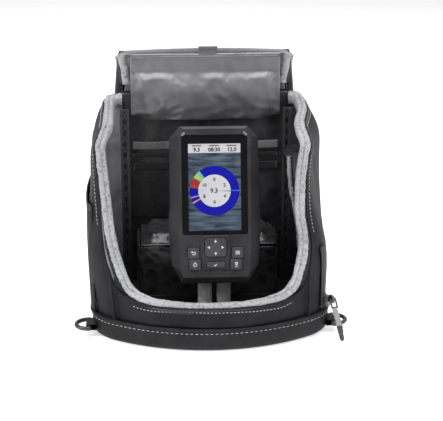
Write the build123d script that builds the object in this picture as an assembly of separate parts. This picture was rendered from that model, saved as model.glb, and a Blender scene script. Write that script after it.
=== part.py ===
from build123d import *
import math
import os

# Portable fish finder: a sonar display on a tilt and swivel mount, standing with its battery in a
# soft-sided carry bag whose front cover unzips and folds back over the rear.
# Frame: millimetres, +Z up, +X to the user's right, the user stands on the -Y side.
# The origin is on the floor under the bag, on its centre plane.

# ---------------------------------------------------------------- driving dimensions: bag
BAG_WIDTH = 228.0
BAG_FRONT = 95.0            # bow of the front wall ahead of the origin
BAG_BACK = 93.0             # back wall behind the origin
FRONT_BOW_RADIUS = 165.0
FRONT_CORNER_RADIUS = 45.0
BACK_CORNER_RADIUS = 30.0
SHOULDER_START = 168.0      # height where the side walls start to lean in
SHOULDER_RISE = 48.0
SHOULDER_LEAN = 28.0
SHELL = 4.0                 # outer cloth with its stiffener
PADDING = 8.0               # foam and lining inside the cloth
BOOT_HEIGHT = 22.0
BOOT_FLOOR = 5.0
BOOT_PROUD = 1.0            # how far the moulded boot stands out from the cloth
BOOT_EDGE_RADIUS = 7.0
RIM_FRONT_HEIGHT = 43.0     # opening's edge at the front and at the back
RIM_BACK_HEIGHT = 203.0
RIM_FRONT_FLAT = 10.0       # how far back the low part of the edge runs before it climbs
RIM_LOW_RADIUS = 20.0
RIM_HIGH_RADIUS = 26.0
RIM_SLOPE = 80.0            # steepness of the climb, degrees
BINDING_PROUD = (5.0, 1.5)  # puffed lining outside the edge: upwards, and forwards on the climb
BINDING_DEEP = (7.0, 1.5)
FRONT_SEAM = 92.0           # half width of the front panel
FRONT_SEAM_DEPTH = -46.0    # everything of the front wall lies ahead of this
BACK_SEAM = 84.0            # half width of the back panel
ZIP_TAPE_WIDTH = 5.0
ZIP_THICKNESS = 1.2

# ---------------------------------------------------------------- driving dimensions: cover
CLOTH_PANEL = 5.0           # padded cover panels
HINGE_HEIGHT = 212.0
HINGE_GAP = 3.0             # bare cloth each side of the hinge line
STAND_HEIGHT = 38.0         # hinge line to fold line of the standing panel
FOLD_GAP = 7.0              # air between the standing panel and the one behind it
ROOF_LENGTH = 90.0
APRON_LENGTH = 150.0
BEND_GAP = 2.0              # bare cloth each side of the bend between roof and apron
COVER_HINGE_WIDTH = 160.0
COVER_FOLD_WIDTH = 174.0
COVER_WIDE_WIDTH = 188.0
APRON_CORNER_RADIUS = 62.0
CURTAIN_WIDTH = 151.0
CURTAIN_LENGTH = 62.0
CURTAIN_THICKNESS = 4.4
TAB_WIDTH = 19.0
TAB_THICKNESS = 2.4
TAB_LENGTH = 22.0
TAB_PROUD = 4.5             # tab above the fold line
TAB_OFFSET = 3.0

# ---------------------------------------------------------------- driving dimensions: inside the bag
TRAY_GAP = 1.0
TRAY_WALL = 2.5
TRAY_FLOOR = 3.0
TRAY_HEIGHT = 18.0
BATTERY = (134.0, 66.0, 60.0)
POUCH_WALL = 2.0
POUCH_HEIGHT = 57.0
UPRIGHT_X = 81.5
UPRIGHT_Y = 62.0
UPRIGHT_WIDTH = 9.0
UPRIGHT_BAR = 2.4
UPRIGHT_TOP = 196.0
UPRIGHT_BAYS = 16
BAND_LEVELS = ((128.0, 8.0), (142.0, 4.0), (150.0, 8.0))    # bottom and height of each webbing band
BAND_WIDTH = 148.0
BAND_THICKNESS = 1.4
FLAP_POCKET_HEIGHTS = (72.0, 166.0)
FLAP_POCKET_DEPTHS = (-8.0, 44.0)
FLAP_POCKET_BULGE = (4.0, 19.0)     # how far it stands off the side wall at its foot and its mouth

# ---------------------------------------------------------------- driving dimensions: mount
MOUNT_X = 4.0
MOUNT_Y = -20.0
POST_DIAMETER = 14.0
POST_SPACING = 18.6
POST_TOP = 48.0
FOOT_THICKNESS = 4.0
HEAD_SIZE = (38.0, 20.0, 6.0)
DISC_RADIUS = 10.0
DISC_THICKNESS = 4.0
SWIVEL_BOLT_RADIUS = 4.0
PIVOT_HEIGHT = 70.2
EAR_RADIUS = 7.6
EAR_THICKNESS = 4.6
LUG_WIDTH = 18.0
TILT_BOLT_RADIUS = 2.5
KNOB_RADIUS = 8.0
KNOB_LENGTH = 10.0
RUNNING = 0.06              # radial clearance of a turning fit

# ---------------------------------------------------------------- driving dimensions: display unit
UNIT_WIDTH = 88.0
UNIT_HEIGHT = 150.0
UNIT_TILT = 14.0            # leans back, degrees
PIVOT_BEHIND_FACE = 32.0    # tilt axis, seen from the middle of the unit's face
PIVOT_BELOW_CENTRE = 50.0
BEVEL_DEPTH = 9.0
FRONT_DEPTH = 18.0
REAR_DEPTH = 40.0
CASE_WALL = 2.2
GASKET = 0.8
LENS_WIDTH = 62.0
LENS_TOP = 67.0             # lens edges above and below the centre of the face
LENS_BOTTOM = -27.5
LENS_THICKNESS = 1.6
LENS_RECESS = 2.4
SCREEN_WIDTH = 50.0
SCREEN_TOP = 58.8
SCREEN_BOTTOM = -24.0
ISLAND_TOP = -28.5
ISLAND_BOTTOM = -61.5
ISLAND_HALF_TOP = 14.6
ISLAND_HALF_BOTTOM = 11.6
ISLAND_PROUD = 1.6
PAD_SIZE = (20.2, 18.0)
PAD_CENTRE = -39.6
ENTER_SIZE = (17.4, 5.8)
ENTER_CENTRE = -56.2
SIDE_KEY_SIZE = (11.0, 10.4)
SIDE_KEY_ROWS = (-45.0, -56.2)
SIDE_KEY_OFFSET = 21.0      # centre of the upper side keys from the middle
SIDE_KEY_LEAN = 1.3         # the lower keys sit this much nearer the middle
KEY_PROUD = 1.3
KEY_GAP = 0.45
KEY_TRAVEL = 0.8

# ---------------------------------------------------------------- driving dimensions: outside fittings
POCKET_BULGE = 6.0
POCKET_NET = 1.2
POCKET_FRONT = -44.0
POCKET_BACK = 62.0
POCKET_TOP = 122.0
RING_Y = -44.0
RING_HEIGHT = 10.0
RING_WIRE = 2.1
RING_RADIUS = 12.0
RING_REACH = 0.6
RING_TAB = (7.0, 6.4)
SIDE_ZIP_Y = -50.0
SIDE_ZIP_BOTTOM = 26.0
SIDE_ZIP_TOP = 88.0
SIDE_ZIP_WIDTH = 7.0
SLIDER = (8.0, 4.0, 11.0)
PIN_RADIUS = 0.9
EYE_REACH = 3.6            # from the slider's face out to the pin
PULL_LENGTH = 38.0
PULL_WIDTH = 5.0
PULL_THICKNESS = 2.4
PULL_LEAN = 39.0            # how far the pull swings out from hanging straight down
PULL_TURN = -44.0           # the slider's eye is turned this much towards the front

BIG = 400.0                 # larger than the object, for cutting


# ================================================================ helpers
def block(x0, x1, y0, y1, z0, z1):
    """A box between two corners."""
    size = (x1 - x0, y1 - y0, z1 - z0)
    return Pos((x0 + x1) / 2, (y0 + y1) / 2, (z0 + z1) / 2) * Box(*size)


def prism_xz(edges, y0, y1):
    """An outline drawn in X and Z, extruded from y0 to y1."""
    face = Plane.XZ.offset(-y0) * make_face(edges)
    return extrude(face, amount=-(y1 - y0))


def prism_yz(edges, x0, x1):
    """An outline drawn in Y and Z, extruded from x0 to x1."""
    face = Plane.YZ.offset(x0) * make_face(edges)
    return extrude(face, amount=x1 - x0)


def loop(points):
    return Polyline(*points, close=True)


def tube_along(axis, radius, length, centre):
    """A cylinder of that radius and length, centred, along X, Y or Z."""
    turn = {"X": Rot(0, 90, 0), "Y": Rot(90, 0, 0), "Z": Rot(0, 0, 0)}[axis]
    return Pos(*centre) * turn * Cylinder(radius, length)


def solids_of(shape):
    return shape.solids()


def keep(name, *shapes):
    """Writes one node: every solid of the shapes given, under the node's name."""
    found = [s for shape in shapes for s in solids_of(shape)]
    export_step(Compound(children=found), f"parts/{name}.step")


# ================================================================ bag: the shapes its pieces are cut from
def plan(inset):
    """The bag's outline seen from above, moved in from the outer cloth by inset."""
    half = BAG_WIDTH / 2 - inset
    radius = FRONT_BOW_RADIUS - inset
    centre = FRONT_BOW_RADIUS - BAG_FRONT
    corner = centre - math.sqrt(radius**2 - half**2)
    back = BAG_BACK - inset
    edges = [
        ThreePointArc((-half, corner), (0, centre - radius), (half, corner)),
        Line((half, corner), (half, back)),
        Line((half, back), (-half, back)),
        Line((-half, back), (-half, corner)),
    ]
    face = make_face(edges)
    fronts = [v for v in face.vertices() if v.Y < 0]
    face = fillet(fronts, FRONT_CORNER_RADIUS - inset)
    backs = [v for v in face.vertices() if v.Y > back - 1]
    return fillet(backs, BACK_CORNER_RADIUS - inset)


def envelope(inset):
    """All the space inside a skin of the bag: the plan outline, leaning in at the shoulders."""
    half = BAG_WIDTH / 2 - inset
    lean = SHOULDER_LEAN
    top = SHOULDER_START + SHOULDER_RISE - inset
    rise = top - SHOULDER_START
    shoulder = half - lean
    right = EllipticalCenterArc((shoulder, SHOULDER_START), lean, rise, start_angle=0, arc_size=90)
    left = EllipticalCenterArc((-shoulder, SHOULDER_START), lean, rise, start_angle=90, arc_size=90)
    edges = [
        Line((-half, 0), (half, 0)),
        Line((half, 0), (half, SHOULDER_START)),
        right,
        Line((shoulder, top), (-shoulder, top)),
        left,
        Line((-half, SHOULDER_START), (-half, 0)),
    ]
    arch = prism_xz(edges, -BIG / 2, BIG / 2)
    return extrude(plan(inset), amount=BIG) & arch


def below_rim(up=0.0, forward=0.0):
    """Everything below the opening's edge, with that edge moved up and, on its climb, forward."""
    slope = math.radians(RIM_SLOPE)
    half = slope / 2
    low, high = RIM_LOW_RADIUS, RIM_HIGH_RADIUS
    climb = RIM_BACK_HEIGHT - RIM_FRONT_HEIGHT
    bends = (RIM_LOW_RADIUS + RIM_HIGH_RADIUS) * (1 - math.cos(slope))
    straight = (climb - bends) / math.sin(slope)
    low_y = -BAG_FRONT + RIM_FRONT_FLAT - forward
    low_z = RIM_FRONT_HEIGHT + RIM_LOW_RADIUS + up
    high_y = low_y + (RIM_LOW_RADIUS + RIM_HIGH_RADIUS) * math.sin(slope) + straight * math.cos(slope)
    high_z = RIM_BACK_HEIGHT - RIM_HIGH_RADIUS + up

    def low_arc(angle):
        return low_y + low * math.sin(angle), low_z - low * math.cos(angle)

    def high_arc(angle):
        return high_y - high * math.sin(angle), high_z + high * math.cos(angle)

    far, floor = BIG / 2, -BIG / 4
    edges = [
        Line((-far, low_arc(0)[1]), low_arc(0)),
        ThreePointArc(low_arc(0), low_arc(half), low_arc(slope)),
        Line(low_arc(slope), high_arc(slope)),
        ThreePointArc(high_arc(slope), high_arc(half), high_arc(0)),
        Line(high_arc(0), (far, high_arc(0)[1])),
        Line((far, high_arc(0)[1]), (far, floor)),
        Line((far, floor), (-far, floor)),
        Line((-far, floor), (-far, low_arc(0)[1])),
    ]
    return prism_yz(edges, -BIG / 2, BIG / 2)


def front_zone():
    return block(-FRONT_SEAM, FRONT_SEAM, -BIG, FRONT_SEAM_DEPTH, -BIG, BIG)


def back_zone():
    return block(-BACK_SEAM, BACK_SEAM, BAG_BACK - SHELL - PADDING - 0.01, BIG, -BIG, BIG)


def left_zone():
    return block(-BIG, 0, -BIG, BIG, -BIG, BIG) - front_zone() - back_zone()


def right_zone():
    return block(0, BIG, -BIG, BIG, -BIG, BIG) - front_zone() - back_zone()


# Above the shoulders the padding ends at the opening, so the room inside has no ceiling.
ROOM_TOP = block(-BACK_SEAM - 4, BACK_SEAM + 4, -BIG, BAG_BACK - SHELL - PADDING, RIM_BACK_HEIGHT - 13, BIG)
ENVELOPES = {
    "cloth": envelope(0),
    "cloth_inside": envelope(SHELL),
    "room": envelope(SHELL + PADDING) + ROOM_TOP,
}
BACK_TOP = HINGE_HEIGHT - HINGE_GAP


# ================================================================ bag: sewn panels
def bag_panels():
    cloth = ENVELOPES["cloth"] - ENVELOPES["cloth_inside"]
    cloth &= block(-BIG, BIG, -BIG, BIG, BOOT_HEIGHT, BIG)
    edged = cloth & below_rim()
    keep("front_panel", edged & front_zone())
    keep("left_side_panel", edged & left_zone())
    keep("right_side_panel", edged & right_zone())
    keep("back_panel", cloth & back_zone() & block(-BIG, BIG, -BIG, BIG, -BIG, BACK_TOP))


def bag_padding():
    foam = ENVELOPES["cloth_inside"] - ENVELOPES["room"]
    foam &= block(-BIG, BIG, -BIG, BIG, BOOT_FLOOR, BIG)
    edged = foam & below_rim(*[-d for d in BINDING_DEEP])
    keep("front_padding", edged & front_zone())
    keep("left_padding", edged & left_zone())
    keep("right_padding", edged & right_zone())
    keep("back_padding", foam & back_zone() & block(-BIG, BIG, -BIG, BIG, -BIG, BACK_TOP))


def rim_binding():
    """The gathered lining that rolls over the padding all along the opening."""
    strip = ENVELOPES["cloth_inside"] - ENVELOPES["room"]
    strip &= below_rim(*BINDING_PROUD)
    strip -= below_rim(*[-d for d in BINDING_DEEP])
    keep("rim_binding", strip - back_zone())


def opening_zip():
    """Zip tape with its teeth, sewn round the outside of the opening's edge."""
    strip = envelope(-ZIP_THICKNESS) - ENVELOPES["cloth"]
    strip &= below_rim(-1.0, -0.5)
    strip -= below_rim(-1.0 - ZIP_TAPE_WIDTH, -0.5 - ZIP_TAPE_WIDTH * 0.6)
    keep("opening_zip", strip - back_zone())


def boot():
    """The moulded tray-shaped boot that the bag stands on."""
    outer = extrude(plan(-BOOT_PROUD), amount=BOOT_HEIGHT)
    outer = fillet(outer.edges().group_by(Axis.Z)[0], BOOT_EDGE_RADIUS)
    inner = Pos(0, 0, BOOT_FLOOR) * extrude(plan(SHELL), amount=BOOT_HEIGHT)
    keep("base_boot", outer - inner)


# ================================================================ bag: cover that folds back over the rear
STAND_FRONT = BAG_BACK - CLOTH_PANEL
STAND_MIDDLE = BAG_BACK - CLOTH_PANEL / 2
FOLD_HEIGHT = HINGE_HEIGHT + STAND_HEIGHT
FOLD_Y = BAG_BACK + FOLD_GAP / 2
HANG_FRONT = BAG_BACK + FOLD_GAP
HANG_BACK = HANG_FRONT + CLOTH_PANEL
BEND_HEIGHT = FOLD_HEIGHT - ROOF_LENGTH
APRON_TOP = BEND_HEIGHT - BEND_GAP
APRON_BOTTOM = APRON_TOP - APRON_LENGTH
EDGE_GAP = 0.5              # between panel ends that come edge to edge when the cover is shut


def cover():
    low, high = HINGE_HEIGHT + HINGE_GAP, FOLD_HEIGHT - EDGE_GAP
    hinge, fold, wide = COVER_HINGE_WIDTH / 2, COVER_FOLD_WIDTH / 2, COVER_WIDE_WIDTH / 2
    stand = loop([(-hinge, low), (hinge, low), (fold, high), (-fold, high)])
    keep("cover_stand", prism_xz(stand, STAND_FRONT, BAG_BACK))
    bottom = BEND_HEIGHT + BEND_GAP
    roof = loop([(-wide, bottom), (wide, bottom), (fold, high), (-fold, high)])
    keep("cover_roof", prism_xz(roof, HANG_FRONT, HANG_BACK))
    apron = block(-wide, wide, HANG_FRONT, HANG_BACK, APRON_BOTTOM, APRON_TOP)
    corners = [e for e in apron.edges().filter_by(Axis.Y) if e.center().Z < APRON_BOTTOM + 1]
    keep("cover_apron", fillet(corners, APRON_CORNER_RADIUS))


def curtain():
    """The pocket of lining cloth sewn along the top of the standing panel, hanging in front of it."""
    top = FOLD_HEIGHT - 5.0
    back = BAG_BACK - SHELL - PADDING - 0.6
    half = CURTAIN_WIDTH / 2
    sheet = block(-half, half, back - CURTAIN_THICKNESS, back, top - CURTAIN_LENGTH, top)
    keep("curtain", fillet(sheet.edges().filter_by(Axis.X), CURTAIN_THICKNESS * 0.3))


def pull_tab():
    front = STAND_FRONT - 0.2 - TAB_THICKNESS
    top = FOLD_HEIGHT + TAB_PROUD
    left, right = TAB_OFFSET - TAB_WIDTH / 2, TAB_OFFSET + TAB_WIDTH / 2
    tab = block(left, right, front, front + TAB_THICKNESS, top - TAB_LENGTH, top)
    keep("pull_tab", fillet(tab.edges().group_by(Axis.Z)[-1].filter_by(Axis.X), TAB_THICKNESS * 0.4))


# ================================================================ bag: fittings outside
def side_x(y, inset):
    """Half width of the plan outline at depth y, on its right flank, front corner or bow, and the
    direction that the wall faces there."""
    radius = FRONT_CORNER_RADIUS - inset
    centre_x = BAG_WIDTH / 2 - FRONT_CORNER_RADIUS
    middle = FRONT_BOW_RADIUS - BAG_FRONT
    reach = FRONT_BOW_RADIUS - FRONT_CORNER_RADIUS
    centre_y = middle - math.sqrt(reach**2 - centre_x**2)
    drop = min(0.0, y - centre_y)
    meeting = math.atan2(centre_y - middle, centre_x)
    if drop < radius * math.sin(meeting):       # ahead of the corner, on the bowed front
        bow = FRONT_BOW_RADIUS - inset
        turn = math.asin((y - middle) / bow)
        return bow * math.cos(turn), math.degrees(turn)
    x = centre_x + math.sqrt(radius**2 - drop**2)
    return x, math.degrees(math.asin(drop / radius))


def pocket_outline(shrink, steps=10):
    """The pocket seen from above: its net follows the flank and bulges out in the middle."""
    points = []
    for i in range(steps + 1):
        share = i / steps
        y = POCKET_FRONT + (POCKET_BACK - POCKET_FRONT) * share
        x, turn = side_x(y, 0)
        out = POCKET_BULGE * math.sin(math.pi * share) ** 0.6 - shrink
        turn = math.radians(turn)
        points.append((-x - out * math.cos(turn), y + out * math.sin(turn)))
    first, last = points[0], points[-1]
    inner = BAG_WIDTH / 2 - 30
    return [Spline(*points), Line(last, (-inner, last[1])), Line((-inner, last[1]), (-inner, first[1])),
            Line((-inner, first[1]), first)]


def net_pocket():
    """A stretch net pocket on the left side, with an elastic hem along its mouth."""
    floor = BOOT_HEIGHT + 2
    outer, inner = make_face(pocket_outline(0)), make_face(pocket_outline(POCKET_NET))
    net = Pos(0, 0, floor) * extrude(outer, amount=POCKET_TOP - floor)
    net -= Pos(0, 0, floor + POCKET_NET) * extrude(inner, amount=POCKET_TOP)
    keep("net_pocket", net - ENVELOPES["cloth"])
    hem = Pos(0, 0, POCKET_TOP) * (extrude(outer, amount=8) - extrude(inner, amount=9))
    keep("net_pocket_hem", hem - ENVELOPES["cloth"])


def strap_rings():
    """A ring on each side for a shoulder strap, held by a webbing loop sewn into the boot's seam."""
    for name, side in (("left", -1), ("right", 1)):
        wall = side_x(RING_Y + RING_RADIUS, -BOOT_PROUD)[0]
        bar_x = wall + RING_TAB[0] - RING_WIRE - 2.0
        arc_x = bar_x + RING_REACH
        ring = Pos(arc_x, RING_Y, RING_HEIGHT) * Torus(RING_RADIUS, RING_WIRE)
        ring &= block(arc_x, BIG, -BIG, BIG, -BIG, BIG)
        for y in (-RING_RADIUS, RING_RADIUS):
            ring += tube_along("X", RING_WIRE, RING_REACH, (arc_x - RING_REACH / 2, RING_Y + y, RING_HEIGHT))
            ring += Pos(bar_x, RING_Y + y, RING_HEIGHT) * Sphere(RING_WIRE)
        ring += tube_along("Y", RING_WIRE, 2 * RING_RADIUS, (bar_x, RING_Y, RING_HEIGHT))
        width = 2 * RING_RADIUS - 2 * RING_WIRE - 2.0
        tab = block(wall - 6, wall + RING_TAB[0], RING_Y - width / 2, RING_Y + width / 2,
                    RING_HEIGHT - RING_TAB[1] / 2, RING_HEIGHT + RING_TAB[1] / 2)
        ends = [e for e in tab.edges().filter_by(Axis.Y) if e.center().X > wall]
        tab = fillet(ends, RING_TAB[1] / 2 - 0.1)
        tab -= extrude(plan(-BOOT_PROUD), amount=BOOT_HEIGHT + 20)
        tab -= tube_along("Y", RING_WIRE + 0.3, 60, (bar_x, RING_Y, RING_HEIGHT))
        if side < 0:
            ring, tab = mirror(ring, Plane.YZ), mirror(tab, Plane.YZ)
        keep(f"strap_ring_{name}", ring)
        keep(f"ring_tab_{name}", tab)


def side_zip():
    """An upright pocket zip on the right front corner, with its slider and a long moulded pull."""
    x, turn = side_x(SIDE_ZIP_Y, 0)
    tape = envelope(-ZIP_THICKNESS) - ENVELOPES["cloth"]
    lean = Pos(x, SIDE_ZIP_Y, 0) * Rot(0, 0, turn)
    cut = Box(30, SIDE_ZIP_WIDTH, SIDE_ZIP_TOP - SIDE_ZIP_BOTTOM)
    tape &= lean * Pos(0, 0, (SIDE_ZIP_TOP + SIDE_ZIP_BOTTOM) / 2) * cut
    keep("side_zip", tape)
    tangent, thick, tall = SLIDER
    start = ZIP_THICKNESS + 0.6
    low = SIDE_ZIP_BOTTOM + 1.0
    body = Pos(start + thick / 2, 0, low + tall / 2) * Box(thick, tangent, tall)
    body = fillet(body.edges().filter_by(Axis.X), 1.6)
    eye = Pos(start + thick + EYE_REACH, 0, low + tall - 3.4) * Rot(0, 0, PULL_TURN)
    bridge = eye * Pos(-1.9, 0, 0) * Box(7.4, 2.4, 6.4)
    bridge -= eye * tube_along("Y", PIN_RADIUS + 0.25, 10, (0, 0, 0))
    keep("side_zip_slider", lean * (body + bridge))
    swing = lean * eye * Rot(0, -PULL_LEAN, 0)
    ring = tube_along("Y", PIN_RADIUS, 6.4, (0, 0, 0))
    for side in (-1, 1):
        ring += Pos(0, side * 2.7, -3.8) * Box(1.8, 1.0, 9.4)
    ring += Pos(0, 0, -8.2) * Box(1.8, 6.4, 1.6)
    keep("zip_pull_ring", swing * ring)
    neck = 9.2
    mid = PULL_LENGTH * 0.42
    tape_part = Pos(0, 0, -neck - mid / 2) * Box(PULL_THICKNESS, PULL_WIDTH * 0.8, mid)
    keep("zip_pull_tape", swing * tape_part)
    half, tip, end = PULL_WIDTH / 2, 1.2, neck + PULL_LENGTH * 0.88
    outline = loop([(-half, -neck - mid), (half, -neck - mid), (tip, -end), (-tip, -end)])
    grip = prism_yz(outline, -PULL_THICKNESS / 2, PULL_THICKNESS / 2)
    keep("zip_pull_grip", swing * grip)


# ================================================================ inside the bag
TRAY_INSET = SHELL + PADDING + TRAY_GAP
FLOOR = BOOT_FLOOR + TRAY_FLOOR
BATTERY_BACK = BAG_BACK - TRAY_INSET - TRAY_WALL - 0.5
BATTERY_FRONT = BATTERY_BACK - BATTERY[1] - 2 * POUCH_WALL
FOOT_TOP = FLOOR + FOOT_THICKNESS


def base_tray():
    """A moulded tray on the bag's floor, with a fence round the battery and a pad for the mount."""
    tray = Pos(0, 0, BOOT_FLOOR) * extrude(plan(TRAY_INSET), amount=TRAY_HEIGHT)
    tray -= Pos(0, 0, FLOOR) * extrude(plan(TRAY_INSET + TRAY_WALL), amount=TRAY_HEIGHT)
    half = BATTERY[0] / 2 + POUCH_WALL + 0.6
    fence_y = BATTERY_FRONT - 0.6
    tray += block(-half, half, fence_y - 2.0, fence_y, FLOOR, FLOOR + 11)
    for side in (-1, 1):
        inner, outer = sorted((side * half, side * (half + 2.0)))
        tray += block(inner, outer, fence_y - 2.0, BATTERY_BACK, FLOOR, FLOOR + 11)
    keep("base_tray", tray)


def upright(name, side):
    """A lattice post that stiffens the back corner: two rails, ties and crossing braces."""
    centre = side * UPRIGHT_X
    half = UPRIGHT_WIDTH / 2
    y0, y1 = UPRIGHT_Y - UPRIGHT_BAR / 2, UPRIGHT_Y + UPRIGHT_BAR / 2
    post = None
    for x in (centre - half, centre + half - UPRIGHT_BAR):
        rail = block(x, x + UPRIGHT_BAR, y0, y1, FLOOR, UPRIGHT_TOP)
        post = rail if post is None else post + rail
    pitch = (UPRIGHT_TOP - FLOOR - UPRIGHT_BAR) / UPRIGHT_BAYS
    inner = half - UPRIGHT_BAR / 2
    for bay in range(UPRIGHT_BAYS):
        z = FLOOR + UPRIGHT_BAR / 2 + bay * pitch
        for sign in (-1, 1):
            length = math.hypot(2 * inner, pitch)
            angle = math.degrees(math.atan2(pitch, 2 * inner)) * sign
            brace = Rot(0, -angle, 0) * Box(length, UPRIGHT_BAR * 0.7, UPRIGHT_BAR * 0.5)
            post += Pos(centre, UPRIGHT_Y, z + pitch / 2) * brace
    for z in (FLOOR, UPRIGHT_TOP - UPRIGHT_BAR):
        post += block(centre - half, centre + half, y0, y1, z, z + UPRIGHT_BAR)
    post += block(centre - half, centre + half, y0 - 4, y1 + 4, FLOOR, FLOOR + 3)
    keep(name, post)


def battery():
    wide, deep, tall = BATTERY
    front = BATTERY_FRONT + POUCH_WALL
    case = block(-wide / 2, wide / 2, front, front + deep, FLOOR, FLOOR + tall)
    case = fillet(case.edges().filter_by(Axis.Z), 3.0)
    lid = block(-wide / 2 + 4, wide / 2 - 4, front + 4, front + deep - 4, FLOOR + tall, FLOOR + tall + 2)
    keep("battery", case + lid)
    top = FLOOR + tall + 2
    places = (-wide / 2 + 14, wide / 2 - 14)
    tabs = [block(x - 3, x + 3, front + 8, front + 9.2, top, top + 7) for x in places]
    keep("battery_terminals", *tabs)
    grow = POUCH_WALL
    half = wide / 2 + grow
    pouch = block(-half, half, front - grow, front + deep + grow, FLOOR, FLOOR + POUCH_HEIGHT)
    pouch = fillet(pouch.edges().filter_by(Axis.Z), 3.0 + grow)
    core = block(-wide / 2, wide / 2, front, front + deep, FLOOR - 1, FLOOR + BATTERY[2] + 10)
    keep("battery_pouch", pouch - fillet(core.edges().filter_by(Axis.Z), 3.0))


def back_wall_fittings():
    """Webbing bands and a net pocket on the lining of the back wall, and a flap pocket on the right."""
    wall = BAG_BACK - SHELL - PADDING
    half = BAND_WIDTH / 2
    bands = [block(-half, half, wall - BAND_THICKNESS, wall, z, z + h) for z, h in BAND_LEVELS]
    keep("webbing_bands", *bands)
    low, high = FLOOR + BATTERY[2] + 4, BAND_LEVELS[0][0] - 1
    keep("inner_net_pocket", block(-half, -8, wall - BAND_THICKNESS, wall, low, high))
    side = side_x(0, SHELL + PADDING)[0]
    low, high = FLAP_POCKET_HEIGHTS
    thin, full = FLAP_POCKET_BULGE
    wedge = [(side, low), (side - thin, low), (side - full + 2, high - 8), (side - full, high),
             (side - 10, high), (side - 10, high - 3), (side, high - 3)]
    keep("side_flap_pocket", prism_xz(loop(wedge), *FLAP_POCKET_DEPTHS))


# ================================================================ mount
HEAD_TOP = POST_TOP + HEAD_SIZE[2]
DISC_TOP = HEAD_TOP + 0.3 + DISC_THICKNESS


def mount_stand():
    """Two tubes on a screwed foot carry a head block for the swivel."""
    foot = block(MOUNT_X - 27, MOUNT_X + 27, MOUNT_Y - 14, MOUNT_Y + 14, FLOOR, FOOT_TOP)
    foot = fillet(foot.edges().filter_by(Axis.Z), 4.0)
    screws = []
    for dx in (-22.5, 22.5):
        for dy in (-9.5, 9.5):
            foot -= tube_along("Z", 1.7, 20, (MOUNT_X + dx, MOUNT_Y + dy, FOOT_TOP))
            middle = (MOUNT_X + dx, MOUNT_Y + dy, FLOOR + FOOT_THICKNESS / 2 + 0.1)
            shank = tube_along("Z", 1.6, FOOT_THICKNESS - 0.2, middle)
            cap = tube_along("Z", 3.0, 1.8, (MOUNT_X + dx, MOUNT_Y + dy, FOOT_TOP + 0.9))
            screws.append(shank + cap)
    keep("mount_foot", foot)
    keep("foot_screws", *screws)
    spread = POST_SPACING / 2
    height = POST_TOP - FOOT_TOP
    places = [(MOUNT_X + side * spread, MOUNT_Y, FOOT_TOP + height / 2) for side in (-1, 1)]
    posts = [tube_along("Z", POST_DIAMETER / 2, height, place) for place in places]
    keep("mount_posts", *posts)
    wide, deep, tall = HEAD_SIZE
    head = block(MOUNT_X - wide / 2, MOUNT_X + wide / 2, MOUNT_Y - deep / 2, MOUNT_Y + deep / 2,
                 POST_TOP, HEAD_TOP)
    head = fillet(head.edges().filter_by(Axis.Z), 8.0)
    head -= tube_along("Z", SWIVEL_BOLT_RADIUS + RUNNING, 40, (MOUNT_X, MOUNT_Y, HEAD_TOP))
    keep("mount_head", head)


def swivel_bracket():
    """The turning part: a disc with two ears that hold the tilt bolt."""
    z0 = HEAD_TOP + 0.3
    disc = tube_along("Z", DISC_RADIUS, DISC_THICKNESS, (MOUNT_X, MOUNT_Y, z0 + DISC_THICKNESS / 2))
    inner = LUG_WIDTH / 2 + 0.4
    outer = inner + EAR_THICKNESS
    front, back = MOUNT_Y - EAR_RADIUS, MOUNT_Y + EAR_RADIUS
    disc += block(MOUNT_X - outer, MOUNT_X + outer, front, back, z0, z0 + DISC_THICKNESS)
    for side in (-1, 1):
        near, far = sorted((side * inner, side * (inner + EAR_THICKNESS)))
        disc += block(MOUNT_X + near, MOUNT_X + far, front, back, z0, PIVOT_HEIGHT)
        middle = (MOUNT_X + (near + far) / 2, MOUNT_Y, PIVOT_HEIGHT)
        disc += tube_along("X", EAR_RADIUS, EAR_THICKNESS, middle)
    disc -= tube_along("X", TILT_BOLT_RADIUS, 80, (MOUNT_X, MOUNT_Y, PIVOT_HEIGHT))
    disc -= tube_along("Z", SWIVEL_BOLT_RADIUS, 40, (MOUNT_X, MOUNT_Y, z0 + 10))
    keep("swivel_bracket", disc)
    low = POST_TOP + 0.3
    bolt = tube_along("Z", SWIVEL_BOLT_RADIUS, DISC_TOP - low, (MOUNT_X, MOUNT_Y, (DISC_TOP + low) / 2))
    keep("swivel_bolt", bolt)


def tilt_clamp():
    """The bolt through the ears, and the fluted knob that tightens it."""
    outer = LUG_WIDTH / 2 + 0.4 + EAR_THICKNESS
    right = outer + KNOB_LENGTH + 0.4
    left = outer + 2.6
    middle = (MOUNT_X + (right - left) / 2 - 1, MOUNT_Y, PIVOT_HEIGHT)
    bolt = tube_along("X", TILT_BOLT_RADIUS, right + left - 2, middle)
    cap = tube_along("X", 5.2, 2.4, (MOUNT_X - outer - 1.2, MOUNT_Y, PIVOT_HEIGHT))
    keep("tilt_bolt", bolt + cap)
    centre = MOUNT_X + outer + 0.3 + KNOB_LENGTH / 2
    knob = tube_along("X", KNOB_RADIUS, KNOB_LENGTH, (centre, MOUNT_Y, PIVOT_HEIGHT))
    flutes = 8
    for i in range(flutes):
        angle = 2 * math.pi * i / flutes
        y, z = MOUNT_Y + 9.2 * math.cos(angle), PIVOT_HEIGHT + 9.2 * math.sin(angle)
        knob -= tube_along("X", 2.0, KNOB_LENGTH + 2, (centre, y, z))
    knob -= tube_along("X", TILT_BOLT_RADIUS + RUNNING, KNOB_LENGTH + 2, (centre - 2, MOUNT_Y, PIVOT_HEIGHT))
    keep("tilt_knob", knob)


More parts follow.
